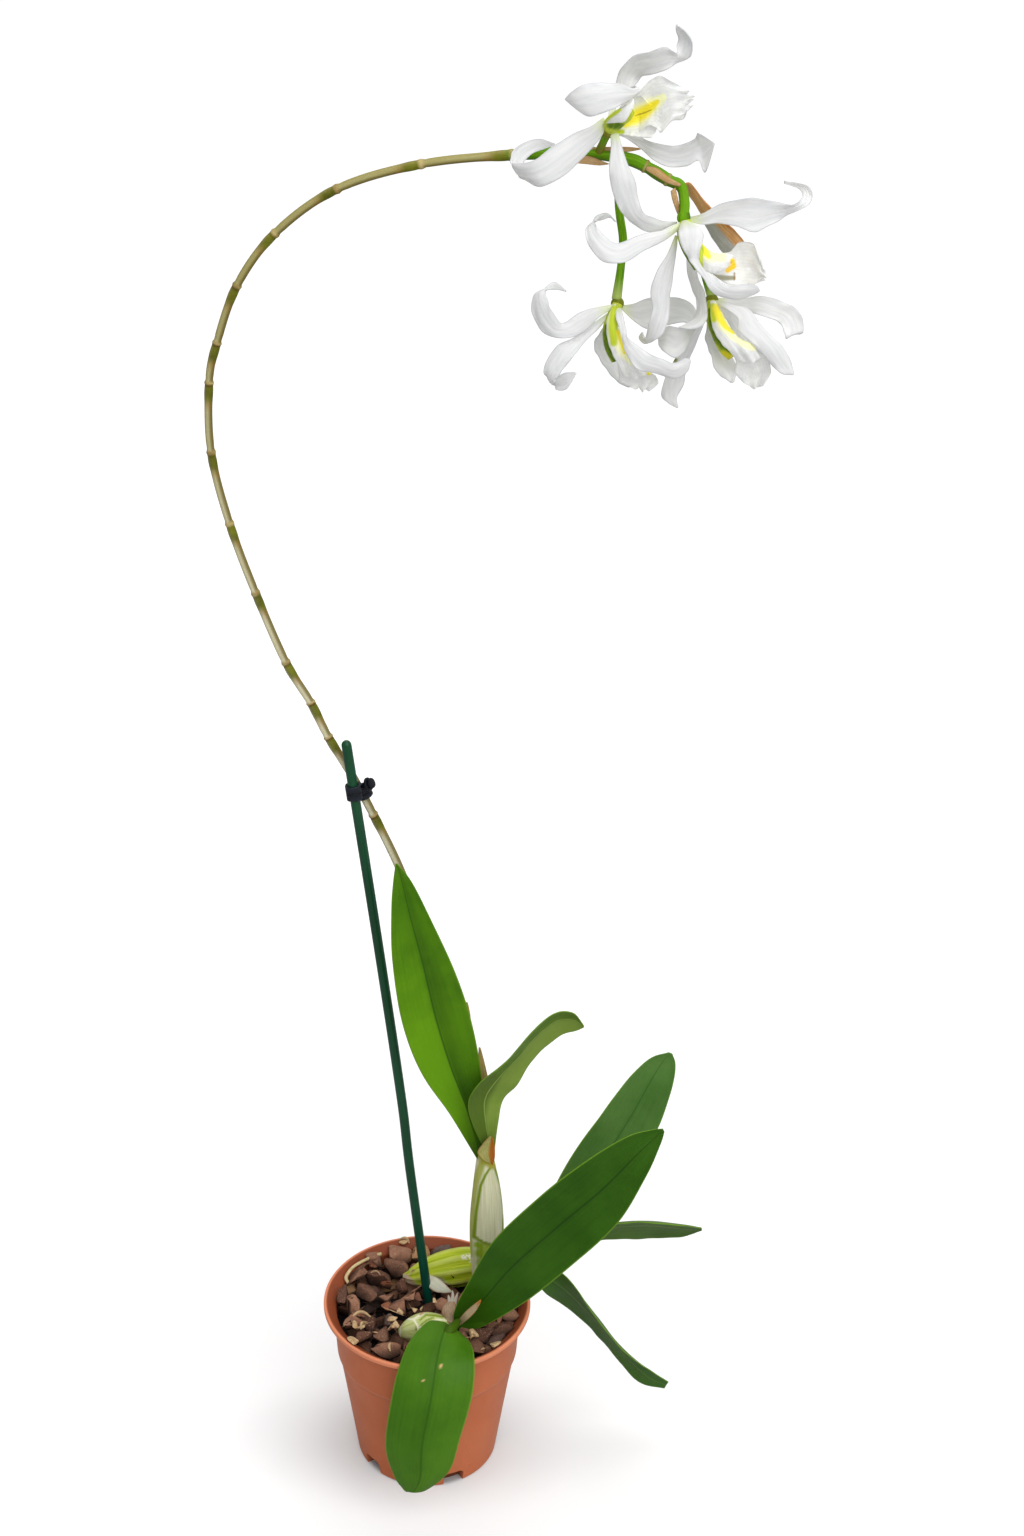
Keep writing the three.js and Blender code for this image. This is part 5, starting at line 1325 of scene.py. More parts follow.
def chunk(random, size, stretch, corners=10, lean=0.6):
    """A lump: the convex hull of points in random directions, stretched, with bevelled edges."""
    ways = unit(random.normal(size=(corners, 3)))
    ways = ways * random.uniform(0.85, 1.1, (corners, 1)) * np.array(stretch) * size
    mesh = bmesh.new()
    for way in ways @ turns(random.uniform(0, 2 * np.pi), random.uniform(-lean, lean)):
        mesh.verts.new(way)
    bmesh.ops.convex_hull(mesh, input=mesh.verts[:])
    loose = [vertex for vertex in mesh.verts if not vertex.link_faces]
    bmesh.ops.delete(mesh, geom=loose, context="VERTS")
    bmesh.ops.bevel(mesh, geom=mesh.edges[:], offset=0.11 * size, segments=1, profile=0.5, affect="EDGES")
    mesh.verts.index_update()
    points = np.array([vertex.co for vertex in mesh.verts])
    rows = [[vertex.index for vertex in face.verts] for face in mesh.faces]
    mesh.free()
    counts = sorted({len(row) for row in rows})
    return points, [np.array([row for row in rows if len(row) == count]) for count in counts]


def chunk_places(random, count, spacing):
    """Places spread over the pot by the golden angle, then moved apart 30 times."""
    index = np.arange(count)
    distance = (WALL_ROOM - 5) * np.sqrt((index + 0.5) / count)
    angle = 2.39996 * index + random.uniform(-0.3, 0.3, count)
    places = np.stack([distance * np.cos(angle), distance * np.sin(angle)], 1)
    for _ in range(30):
        apart = places[:, None] - places[None]
        gap = np.linalg.norm(apart, axis=2) + np.eye(count) * 99
        push = np.maximum(0, spacing - gap)[..., None] * apart / gap[..., None]
        places = places + 0.25 * push.sum(1)
        far = np.linalg.norm(places, axis=1, keepdims=True)
        places = places * np.minimum(1, (WALL_ROOM - 5.5) / far)
    return places


def in_the_pot(points):
    """Points kept inside the pot's wall, by drawing them in to the axis, and under a dome that
    meets the rim's height at the wall."""
    far = np.hypot(points[:, 0], points[:, 1])
    room = np.interp(points[:, 2], [57, 67, 71, 98.5, 103], [47.4, 48.8, 50.2, 52.4, 57.2])
    points[:, :2] *= np.minimum(1, room / np.maximum(far, 1))[:, None]
    points[:, 2] = np.minimum(points[:, 2], np.interp(far, [44, 54], [107, POT_HEIGHT - 0.1]))
    return points


def marked_chunk(random, centre, size, stretch, lean, red, layer_shade):
    """A chunk at a place, with a tone from 0 to 1, and painted shade below its middle, or all over by
    layer_shade.
    """
    points, faces = chunk(random, size, stretch, lean=lean)
    points = in_the_pot(points + centre)
    even = np.ones(len(points))
    marks = {
        "tone": even * random.uniform(0, 1),
        "grey": even * 0.8 * float(random.uniform() < 0.12),
        "pale": even * 0.6 * float(random.uniform() < 0.04),
        "red": even * red * random.uniform(0.3, 1),
        "deep": np.maximum(layer_shade, 0.95 * (1 - ease(points[:, 2], centre[2] - 2.5, centre[2] + 2))),
    }
    return turned_out({"points": points, "faces": faces, "marks": marks})

# %% [markdown]
# The filling is painted near black, as painted shade, and stops light between the chunks. Two
# layers are enough to hide it from above.


# %% Bark in the pot
def filling():
    """The painted-shade dome under the chunks: rings round the axis, each a radius and a height."""
    rows = [[0.5, 8.3], [39.8, 8.3], [48, 57], [50.3, 70], [51.8, BARK_TOP - 4], [6, BARK_TOP - 3]]
    radius, height = np.array(rows).T[:, :, None]
    angle = np.linspace(0, 2 * np.pi, 64, endpoint=False)[None, :]
    rings = [radius * np.cos(angle), radius * np.sin(angle), height + 0 * angle]
    return lofted(np.stack(rings, 2), {"deep": 1})


def bark_body():
    """The dome under two layers of chunks and a few flakes; the upper ones leave out the places
    [across, up, radius] where the bulbs and their husks stand."""
    random = np.random.default_rng(11)
    # A layer's count, spacing, size, level, turn, stretch, lean, redness and painted shade.
    layers = [
        (UPPER_CHUNKS, CHUNK_SPACING, CHUNK_SIZE, 98.4, 0.0, LUMP, 0.6, 0.1, 0),
        (LOWER_CHUNKS, CHUNK_SPACING, CHUNK_SIZE, 90.5, 1.1, LUMP, 0.6, 0.3, 0.45),
        (SMALL_CHUNKS, 20, 4.8, 99.0, 2.3, FLAKE, 1.0, 0.9, 0),
    ]
    bodies = [filling()]
    for count, spacing, size, level, turn, stretch, lean, red, layer_shade in layers:
        places = chunk_places(random, count, spacing) @ turns(turn, 0)[:2, :2]
        for x, y in places:
            edge = 2.4 * ease(np.hypot(x, y), 34, 47)
            centre = np.array([x, y, level + edge + random.uniform(-1.2, 1.8)])
            shown = np.array(shown_at(centre[None]))[:, 0]
            if layer_shade == 0 and any(math.dist(shown, room[:2]) < room[2] for room in BULB_ROOM):
                continue
            wide = size * random.uniform(0.75, 1.15)
            bodies.append(marked_chunk(random, centre, wide, stretch, lean, red, layer_shade))
    return joined(*bodies)


piece("bark_chunks", bark_body(), "growing_medium", BARK_RED, sharp=35)
print("chunks:", UPPER_CHUNKS + LOWER_CHUNKS + SMALL_CHUNKS)

# %% [markdown]
# Dry cream scraps of root and husk lie on the bark. A curl is drawn as [across, up, length,
# turn, radius] and a chip as [across, up, size]; both are laid at the height of the chunks.

# %% Scraps
SCRAP_HEIGHT = 103.8
CURLS = [
    [-38.6, 89.6, 11, 5, 1.0], [-36.8, 83.4, 7, 62, 0.9], [-20.6, 67.8, 7, 75, 0.8],
    [-29.8, 121, 6, -20, 0.5], [-13, 144, 7, -32, 1.0], [-8, 122, 5, 60, 0.5],
]
CHIPS = [
    [-42.4, 85, 3.4], [-39.6, 82.6, 3.2], [-43.8, 73, 3.8], [-20.2, 88.6, 3.8], [-18.6, 84, 3.6],
    [-16.1, 94.4, 2.8], [-7, 94.9, 2.4], [-2.8, 95.4, 2.2], [4.6, 101.9, 2.2], [26.8, 77, 5.2],
    [39.9, 69.8, 3.6], [-14.5, 143, 3.4], [-30, 78, 2.2], [33, 66, 2.2],
]


def on_level(across, up, height):
    """The place at a height that shows at [across, up] on the board."""
    return EYE + (np.array([across, 0.0, up]) - EYE) * (height - EYE[2]) / (up - EYE[2])


def curl_body(across, up, length, turn, radius):
    """A bent, flattened sliver: it rises by 0.18 * length in its middle and swings sideways."""
    middle = on_level(across, up, SCRAP_HEIGHT)
    share = np.linspace(0, 1, 12)
    run = (share - 0.5) * length
    swing = 0.22 * length * np.sin(np.pi * share)
    cos, sin = math.cos(math.radians(turn)), math.sin(math.radians(turn))
    rise = 0.18 * length * np.sin(np.pi * share)
    route = middle + np.stack([run * cos - swing * sin, run * sin + swing * cos, rise], 1)
    thin = radius * np.sin(np.pi * np.clip(share, 0.06, 0.94)) ** 0.5
    return tube(route, thin, 10)


def chip_body(random, across, up, size):
    """A flat chunk in the place of a scrap."""
    points, faces = chunk(random, size, CHIP, 9)
    points = points + on_level(across, up, SCRAP_HEIGHT)
    marks = {"side_x": 0.2 * points[:, 0], "side_y": 0.2 * points[:, 1], "distance": points[:, 2]}
    return turned_out({"points": points, "faces": faces, "marks": marks})


chips = np.random.default_rng(3)
scraps = [curl_body(*row) for row in CURLS] + [chip_body(chips, *row) for row in CHIPS]
piece("bark_scraps", joined(*scraps), None, HUSK_TAN, sharp=35)

# %% [markdown]
# ## Stake and clip
# The spike is too heavy for itself, so it is clipped to a green plastic stake. The stake bends a
# little and ends in a rounded tip. The clip has one collar round the stake and one round the
# spike, with a stack of two discs to press.


# %% Stake
STAKE_RADIUS = 2.7
STAKE_SUNK = 55


def stake_body():
    """The stake's route with its radius drawn in to a rounded tip over the first 3 mm."""
    route = on_board(STAKE)
    foot = unit(route[-1] - route[-2])
    route = np.vstack([route[:-1], route[-1] + foot * STAKE_SUNK])
    route = smooth(route, 40)
    down = unit(route[1] - route[0])
    tip = [0.0, 0.1, 0.35, 0.75, 1.3, 2.0, 3.0]
    route = np.vstack([[route[0] + down * step for step in tip], route[1:]])
    radii = np.full(len(route), float(STAKE_RADIUS))
    radii[: len(tip)] = STAKE_RADIUS * np.sqrt(1 - (1 - np.array(tip) / 3.0) ** 2) + 0.02
    radii[: len(tip)] = np.minimum(radii[: len(tip)], STAKE_RADIUS)
    low = 1 - ease(route[:, 2], 95, 190)
    return tube(route, radii, 28, {"low": low[:, None]})


piece("stake_rod", stake_body(), "support_stake", STAKE_GREEN)
print("stake made")

# %% Clip
def collar(centre, way, inner, outer, height, square):
    """A ring round a direction: its profile runs up outside and down inside. The outside is
    swollen towards a square by square * cos(4 * angle)."""
    way = unit(np.asarray(way, float))
    half = height / 2
    profile = [
        [inner, -half], [outer - 0.3, -half], [outer, 0.3 - half], [outer, -0.2], [outer - 0.2, 0],
        [outer, 0.2], [outer, half - 0.3], [outer - 0.3, half], [inner, half],
    ]
    radius, step = np.array(profile).T[:, :, None]
    sides = 48
    count = len(profile)
    angle = np.linspace(0, 2 * np.pi, sides, endpoint=False)[None, :]
    radius = radius * (1 - square * np.cos(4 * angle) * (radius > inner + 0.1))
    rings = centre + radius[..., None] * circle(way, [0, 1, 0], sides) + step[..., None] * way
    i, j = np.meshgrid(np.arange(count), np.arange(sides), indexing="ij")
    here, above = i * sides, (i + 1) % count * sides
    corners = [here + j, here + (j + 1) % sides, above + (j + 1) % sides, above + j]
    faces = [np.stack([corner.ravel() for corner in corners], 1)]
    # The edge mark lightens the chamfered corners: a painted highlight.
    edge = np.zeros((count, sides))
    edge[[1, 2, 6, 7]] = 0.5
    return turned_out({"points": rings.reshape(-1, 3), "faces": faces, "marks": {"edge": edge.ravel()}})


def disc(centre, way, radius, height):
    """A flat round button with soft edges, given as shares of its height and radius."""
    rows = [[-0.5, 0.1], [-0.5, 0.8], [-0.42, 0.94], [-0.2, 1], [0.2, 1], [0.42, 0.94], [0.5, 0.8]]
    step, wide = np.array([*rows, [0.5, 0.1]]).T[:, :, None, None]
    return lofted(centre + step * height * way + wide * radius * circle(way, [0, 0, 1], 32))


def clip_body():
    """The two collars, each along its own stem, and the discs on a pin that points outwards."""
    stake_way = on_board(STAKE[1:2])[0] - on_board(STAKE[0:1])[0]
    spike_way = on_board(SPIKE[6:7])[0] - on_board(SPIKE[8:9])[0]
    stake_place, spike_place, knob = on_board([CLIP["stake"], CLIP["spike"], CLIP["knob"]])
    outward = unit(knob - stake_place + np.array([0, -3, 0]))
    return joined(
        collar(stake_place, stake_way, STAKE_RADIUS + 0.3, 4.5, CLIP["height"], 0.05),
        collar(spike_place, spike_way, 2.9, CLIP["radius"], CLIP["height"] * 0.8, 0.0),
        disc(knob + outward * 1.0, outward, 3.6, 1.6),
        disc(knob + outward * 3.0, outward, 2.8, 1.6),
        disc(knob, outward, 1.6, 6.0),
    )


piece("clip_rings", clip_body(), "stem_clip", CLIP_DARK, sharp=40)
print("clip made")

# %% [markdown]
# ## Pseudobulbs and root
# The plant keeps its water in swollen stems. Each is a tube with soft ribs. Dry papery sheaths
# wrap the upright one apart from its bare areas, and stand SHEATH_PROUD above them.

# %% Bulbs and root
SHEATH_PROUD = 0.35
BULB_BARE = {
    "bulb_upright": [
        [[28.8, 141.4, 3.4], [32.6, 139.4, 5.4], [39, 137.4, 5.6]],
        [[31, 135.6, 6], [35, 134, 8], [43, 131, 10]],
        [[33, 129, 7], [41, 124, 12]],
        [[35, 121, 8], [37, 104, 12]],
    ],
    "bulb_lying": [[[-20, 120, 60], [60, 130, 60]]],
    "bulb_front": [[[-15, 82, 60], [10, 82, 60]]],
}
BULB_AREAS = {
    "bulb_upright": {
        "line": [
            [[36.4, 196.2, 0.8], [33, 190, 1.1], [30.3, 182.6, 1.2], [27.9, 164.2, 1.5], [26.8, 147.2, 1.8]],
            [[26.8, 147.2, 1.8], [32, 143.3, 1.2], [38.4, 140.9, 1]],
            [[37.6, 196.2, 0.8], [41.6, 182.6, 0.9], [43.7, 164.2, 0.9], [43.3, 150.3, 0.9]],
        ],
        "tinge": [
            [[31, 198, 3], [27, 184, 3.4], [24.8, 164, 3.4], [23.8, 147, 3.2], [24.4, 134, 2.6]],
            [[39.4, 200, 2], [43.4, 186, 1.6], [46, 166, 1.8]],
        ],
        "olive": [[[30, 206, 7], [34.4, 200, 6], [36.8, 196, 3.4]]],
        "orange": [[[37.2, 209, 1.8], [37, 204, 2.4], [36.6, 199, 1.3]]],
        "tan": [[[27, 203.6, 1.2], [26.8, 200, 1]]],
    },
    "bulb_lying": {
        "scar": [[[21.3, 132.9, 2.5], [25.3, 133.2, 2.8], [25.3, 130.4, 2]]],
        "grey": [[[1.5, 116, 3], [6.4, 115.5, 4.5], [10.5, 111.5, 3.5], [13.5, 108.6, 2]]],
        "husk": [[[-12.7, 119, 3], [-8.7, 113, 4], [-4, 107.5, 3]]],
    },
    "bulb_front": {
        "ridge": [
            [[-15.4, 86, 0.7], [-12.4, 88.6, 0.9], [-7.8, 88.1, 1]],
            [[-7.8, 88.1, 1], [-5.8, 83.9, 0.9], [-4.9, 79.8, 0.8], [-5.4, 74, 0.6]],
            [[-7.8, 88.1, 1], [-4.6, 91, 1.1], [-2, 92.5, 1.1]],
            [[-4.5, 80.8, 0.7], [0.1, 85, 0.8], [6.3, 88.1, 0.8], [10.5, 87.6, 0.7], [13.2, 86.3, 0.5]],
            [[-15.6, 84, 0.6], [-15.8, 76, 0.6]],
        ],
        "tan": [[[-4, 91.6, 0.8], [-2, 93.4, 1.1], [-1, 95.4, 1]]],
        "line": [
            [[-4.2, 87.6, 0.8], [-0.7, 91.2, 1], [4.7, 91, 1], [9, 89.8, 0.8]],
            [[-3.6, 83.9, 0.8], [-0.2, 87.4, 0.9], [3.6, 89.4, 0.8]],
            [[-6.6, 85.4, 0.6], [-6.3, 80, 0.6]],
        ],
    },
}
BULB_RIBS = {"bulb_upright": (7, 0.012), "bulb_lying": (9, 0.05), "bulb_front": (8, 0.03)}
BULB_PAINTS = {
    "bulb_upright": ((124, 156, 20), (160, 186, 46), (186, 202, 96)),
    "bulb_lying": ((146, 172, 4), (206, 216, 54), (226, 230, 130)),
    "bulb_front": ((178, 190, 106), (216, 221, 150), (222, 226, 170)),
}


def bulb_body(name):
    """The drawn stalk with ribs: the radius times 1 + depth * cos(count * angle), least at the
    ends, less SHEATH_PROUD where no sheath covers it."""
    rows = np.array(BULBS[name], float)
    spans = 16
    sides = 72
    route = smooth(on_board(rows), spans)
    radii = smooth(rows[:, 3:4], spans)
    count, depth = BULB_RIBS[name]
    angle = np.linspace(0, 2 * np.pi, sides, endpoint=False)[None, :]
    share = np.linspace(0, 1, len(route))[:, None]
    rib = np.cos(count * angle + 1.4 * share)
    ribbed = radii * (1 + depth * rib * np.sin(np.pi * share) ** 0.5)
    bare = painted(tube(route, ribbed, sides)["points"], BULB_BARE[name])
    grid = bare[: len(route) * sides].reshape(len(route), sides)
    body = tube(route, ribbed - SHEATH_PROUD * grid, sides)
    body["marks"]["paper"] = 1 - bare
    body["marks"]["rib"] = np.append(np.maximum(0, rib).ravel(), [0, 0])
    return with_areas(body, BULB_AREAS[name])


for name in BULBS:
    finish = material(f"{name}_skin", bulb_paint, *BULB_PAINTS[name])
    piece(f"{name}_sheathed", bulb_body(name), name, finish)
piece("root_cord", drawn_tube(ROOT, 14, 12), "exposed_root", ROOT_CREAM)
print("bulbs:", len(BULBS))

# %% [markdown]
# ## Flower spike
# The long stem that carries the flowers is one tube from the upright bulb to the second flower.
# Each node has a thin proud ring, a waist after it and a green swelling before it.

# %% Spike
RACHIS_START = 21
LAST_STALK_START = 27
SHEATH_RADIUS = 2.35
TOP_SHEATH_RADIUS = 2.0
RACHIS_RADIUS = 2.8
LAST_STALK_RADIUS = 2.4
HUB_RADIUS = 3.2
SPIKE_SPANS = 22


def spike_body():
    """The spike's radius is its own, plus 0.45 * exp(-(d / 0.6) ** 2) at each ring, where d is
    the way past it in mm, less 0.15 * exp(-((d - 2) / 1.5) ** 2) for the waist after it, plus
    0.25 * exp(-((d + 5) / 4) ** 2) for the swelling before it."""
    rows = np.array(SPIKE, float)
    route = smooth(on_board(rows), SPIKE_SPANS)
    place = np.linspace(0, len(rows) - 1, len(route))
    reached = length_along(route)
    sheath = np.interp(place, [5, 14], [SHEATH_RADIUS, TOP_SHEATH_RADIUS])
    radii = np.where(place >= RACHIS_START, RACHIS_RADIUS, sheath)
    radii = np.where(place >= LAST_STALK_START, LAST_STALK_RADIUS, radii)
    radii = np.convolve(np.pad(radii, 8, mode="edge"), np.full(17, 1 / 17), mode="valid")
    before, tinge, ring, dark = np.zeros((4, len(route)))
    for node in np.flatnonzero(rows[:, 3] == 1):
        past = reached - reached[node * SPIKE_SPANS]
        radii = radii + 0.45 * np.exp(-((past / 0.6) ** 2)) - 0.15 * np.exp(-(((past - 2) / 1.5) ** 2))
        radii = radii + 0.25 * np.exp(-(((past + 5) / 4) ** 2))
        before = np.maximum(before, ease(past, -12, -7) * (past < -0.4))
        tinge = np.maximum(tinge, ease(past, -15, -11) * (past < -0.4))
        ring = np.maximum(ring, np.exp(-((past / 0.6) ** 2)))
        dark = np.maximum(dark, np.exp(-(((past + 1.1) / 0.5) ** 2)))
    green = ease(place, RACHIS_START - 0.1, RACHIS_START + 0.02)
    angle = np.linspace(0, 2 * np.pi, 24, endpoint=False)[None, :]
    facing = ease(-np.sin(angle) + 0.7 * np.cos(angle), -0.6, 0.9)
    marks = {
        "before_node": 0.9 * before[:, None] * (0.35 + 0.65 * facing),
        "tinge": 0.35 * tinge[:, None] * facing,
        "node_line": ring[:, None],
        "dark_line": 0.75 * dark[:, None] * (1 - green[:, None]),
        "green": green[:, None],
    }
    stem = tube(route, radii, 24, marks)
    hub = ball(on_board([HUBS[1]])[0], HUB_RADIUS)
    hub["marks"]["green"] = np.ones(len(hub["points"]))
    return joined(stem, hub)


piece("spike_sheathed", spike_body(), "flower_spike", SPIKE_PAPER)
for name, hub in (("pedicel_1", 0), ("pedicel_3", 2), ("pedicel_4", 3)):
    stalk = joined(drawn_tube(PEDICELS[name], 18, 14), ball(on_board([HUBS[hub]])[0], HUB_RADIUS))
    piece(f"{name}_stalk", stalk, name, PEDICEL_GREEN)
print("spike made")

# %% [markdown]
# ## Leaves
# The leaves are thick, stiff straps. Each is a blade with a groove along its midrib, a thin pale
# rim and its own greens, lighter on some leaves and darker on others. Painted light and shade
# lighten or darken halves, folds and feet of some leaves. Two leaves leave the bark at a swollen
# joint.

# %% Leaves
LEAF = {
    "thickness": 1.3, "rim": 0.6, "bow": 0.1, "wave": 0.3, "frill": 0, "reach": 0, "ruffle": 0,
    "ruffles": 0, "scallop": 0, "crinkle": 0.12, "groove": 0.55, "vein": 0.05, "veins": 9,
}
LEAF_PAINTS = {
    "leaf_long_left": ((56, 102, 2), (100, 152, 10), (30, 72, 2), 0.36),
    "leaf_twisted": ((74, 110, 12), (126, 152, 62), (158, 180, 96), 0.4),
    "leaf_back_right": ((64, 106, 38), (96, 134, 66), (46, 88, 28), 0.4),
    "leaf_front_right": ((36, 76, 4), (60, 104, 18), (20, 52, 4), 0.36),
    "leaf_edge_on": ((62, 96, 30), (96, 128, 56), (110, 140, 62), 0.4),
    "leaf_drooping_right": ((48, 92, 34), (84, 122, 54), (108, 142, 76), 0.4),
    "leaf_front_droop": ((58, 106, 12), (90, 138, 30), (44, 88, 10), 0.38),
}
JOINT_PAINT = [(52, 84, 4), (88, 120, 14), (60, 90, 8), (84, 112, 16), 0.4]
JOINT_ROWS = [
    [10.4, 74.8, -43, 1.2], [11.4, 77, -42, 2.2], [13.4, 80.2, -40, 2.7], [16, 83.6, -35, 2.5],
    [18, 87, -29, 1.6],
]
LEAF_AREAS = {
    "leaf_front_droop": {"tan": [[[8, 54.2, 1.1], [7.6, 52.8, 1.1]], [[-2.1, 42.8, 0.9]]]},
    # light: a painted highlight at the foot of the front right leaf.
    "leaf_front_right": {"light": [[[17, 83, 3], [24, 82, 4], [32, 84, 3]]]},
    "leaf_twisted": {"dull": [[[30, 214, 5], [27, 228, 7], [29, 242, 8], [36, 254, 6]]]},
}


def shade_leaf(name, marks):
    """Painted light and shade on halves, folds and feet of some leaves, from across and share."""
    across, share = marks["across"], marks["share"]
    if name == "leaf_twisted":
        marks["light"] = 0.8 * ease(across, 0, 0.12)
    if name == "leaf_long_left":
        marks["light"] = (1 - ease(share, 0.2, 0.75)) * (1 - ease(across, -0.1, 0.1))
        fold = ease(across, -0.04, 0.02) * (1 - ease(across, 0.05, 0.7))
        marks["dark"] = np.maximum(0.4 * fold, 0.7 * (1 - ease(share, 0.02, 0.16)))
    if name == "leaf_front_droop":
        marks["dark"] = 0.22 * ease(across, -0.5, -0.02) * (1 - ease(across, -0.02, 0.04))


for name, rows in LEAVES.items():
    top, light, rib, gloss = LEAF_PAINTS[name]
    finish = material(f"{name}_green", leaf_paint, top, light, rib, light, gloss)
    body = with_areas(blade(rows, LEAF, 30, 20), LEAF_AREAS.get(name, {}))
    shade_leaf(name, body["marks"])
    piece(f"{name}_blade", body, name, finish)
joint_green = material("leaf_joint_green", leaf_paint, *JOINT_PAINT)
piece("leaf_joint", drawn_tube(JOINT_ROWS, 20, 8), None, joint_green)
print("leaves:", len(LEAVES))

# %% [markdown]
# ## Flowers
# Each flower has five tepals round a column, and a lip: a lobe that wraps the column and a
# ruffled fan that opens out of it. The first flower also shows the fold of its side lobe.

# %% Flowers
TEPAL = {
    **LEAF, "thickness": 0.9, "wave": 0.7, "crinkle": 0.3, "groove": 0.2, "vein": 0.06,
    "veins": 7,
}
LIP = {
    **TEPAL, "bow": 0.08, "wave": 0, "frill": 0.8, "reach": 2.5, "ruffle": 0.4, "ruffles": 17,
    "groove": 0.1,
}
FAN = {
    **LIP, "frill": 1.6, "ruffle": 1.5, "ruffles": 8, "scallop": 0.6, "crinkle": 0.15,
    "vein": 0.04,
}
HOOD = {**TEPAL, "bow": -0.16, "wave": 0, "crinkle": 0.1}
FAN_LOOKS = {
    "flower_1": {**FAN, "ruffle": 2.4, "ruffles": 13, "scallop": 1.5},
    "flower_2": {**FAN, "ruffle": 2.0, "ruffles": 12, "scallop": 1.2},
}
HOOD_ROWS = [
    [79.9, 763.6, 12, 80.1, 762.6, 12], [81.9, 766, 7, 82.6, 763, 6],
    [85, 767.8, 3.5, 86, 763.3, 3], [87.8, 769.3, 2, 88.8, 763.5, 1.5],
    [90.2, 770.9, 1.5, 90.2, 764.8, 1], [91.8, 772.2, 2, 91.4, 767.3, 1.5],
    [92.6, 773.8, 3.5, 92.1, 770.3, 3],
]
FLOWERS = {"flower_1": FLOWER_1, "flower_2": FLOWER_2, "flower_3": FLOWER_3, "flower_4": FLOWER_4}
FLOWER_AREAS = {
    "flower_1_lip": {
        "green": [[[80.2, 761.5, 1.8], [82.8, 759.3, 2], [85.6, 758.8, 2], [88.4, 759.3, 1.4]]],
        "cream": [[[90, 764, 4.5], [95, 766.5, 6], [101, 770.5, 5], [106, 774, 2.5]]],
        "yellow": [
            [[89.5, 763, 3], [93.5, 765.5, 4.8], [97.5, 767.6, 4.4], [101, 770.2, 3]],
            [[101, 770.2, 3], [103.5, 772.3, 1.5]],
        ],
        "brown": [[[94, 766.3, 0.4], [98.3, 767.6, 0.5], [101, 768.8, 0.3]]],
    },
    "flower_1_hood": {"green": [[[80.2, 763.8, 1.6], [82.2, 766.2, 2], [85, 767.8, 1.8], [87, 768.8, 1]]]},
    "flower_2_lip": {
        "cream": [[[125.5, 708, 4], [131, 704, 4.5], [137, 702.8, 3]]],
        "yellow": [[[126.4, 708.5, 2.4], [128.8, 705.4, 2.6], [130.6, 703.2, 1.5]]],
        "orange": [[[141.6, 701.4, 1.6], [142.2, 698.8, 2], [139.6, 696.8, 1.6]]],
        "shade": [[[130.5, 695.2, 1.2], [134.5, 694, 1.4], [138, 693.4, 1.8], [142.6, 693.4, 1.4]]],
        "brown": [[[142.9, 695.6, 0.6], [143, 692.6, 0.6]]],
    },
    "flower_3_lip": {
        "cream": [[[88.5, 676, 3.5], [89.5, 666, 4.5], [93, 659, 4], [97, 654, 2.5]]],
        "green": [[[87.6, 679, 3], [87.6, 674.4, 4], [87.4, 669.5, 3.6], [88, 663, 2.6]]],
        "yellow": [[[89.9, 668, 1.4], [91.6, 663.5, 1.7], [93.4, 658.4, 1.3]], [[105.2, 648.5, 1.6]]],
    },
    "flower_4_lip": {
        "cream": [[[136, 680, 3.5], [139, 672, 4], [144, 667, 3.4], [150, 662.5, 2.8], [154, 660.5, 2]]],
        "green": [[[133.4, 680, 2.4], [134.4, 674, 2.2]]],
        "yellow": [[[135.2, 679.5, 2.6], [137.2, 674.8, 2.6], [140.2, 670.6, 1.8], [144, 667.8, 1.2]]],
    },
    "flower_4_back_sepal": {"green": [[[122.1, 671, 1.8], [121.8, 667.5, 2.2]], [[117.3, 654.7, 1.8]]]},
    "flower_1_column": {
        "dark": [[[82.6, 761.9, 1.8], [85.5, 761.9, 2.6], [88.4, 761.6, 1.8]]],
        # grey: a painted shadow behind the hood.
        "grey": [[[88.2, 770.2, 1.8], [91.2, 771.4, 1.8]]],
    },
    "flower_2_column": {
        "dark": [
            [[117.6, 708.5, 1.4], [118, 705.4, 2], [120, 703, 2.6]],
            [[120, 703, 2.6], [122.4, 700.2, 2.6], [125, 697, 1.8]],
        ],
    },
    "flower_3_column": {
        "cream": [[[89, 667, 2.4], [89, 662, 3], [91, 657, 3]]],
        "dark": [
            [[84.2, 671, 1.4], [84.2, 667.5, 2.2], [85, 662, 2.8]],
            [[85, 662, 2.8], [87, 657.6, 2.6], [89.6, 653.5, 1.8]],
        ],
    },
    "flower_4_column": {
        "yellow": [
            [[135.2, 680, 2.6], [137, 675, 2.8], [139.6, 671, 2.6]],
            [[140, 658.2, 1.6], [143, 656.2, 2.2], [145, 653.6, 2]],
        ],
        "dark": [
            [[132.4, 678.5, 1.4], [133.6, 671.5, 2.6], [136.6, 665.7, 3.2]],
            [[136.6, 665.7, 3.2], [139.7, 662, 2.8], [142.8, 659.2, 1.4]],
        ],
        "white": [[[141, 667, 1.6], [144.9, 661.3, 2]]],
        "spot": [[[145.4, 654.4, 0.9]]],
    },
}


def flower_piece(name, ending, body, finish, node=True):
    """A part of a flower, with its drawn areas; the hood stands for no CAD node."""
    body = with_areas(body, FLOWER_AREAS.get(name, {}))
    piece(name + ending, body, name if node else None, finish)


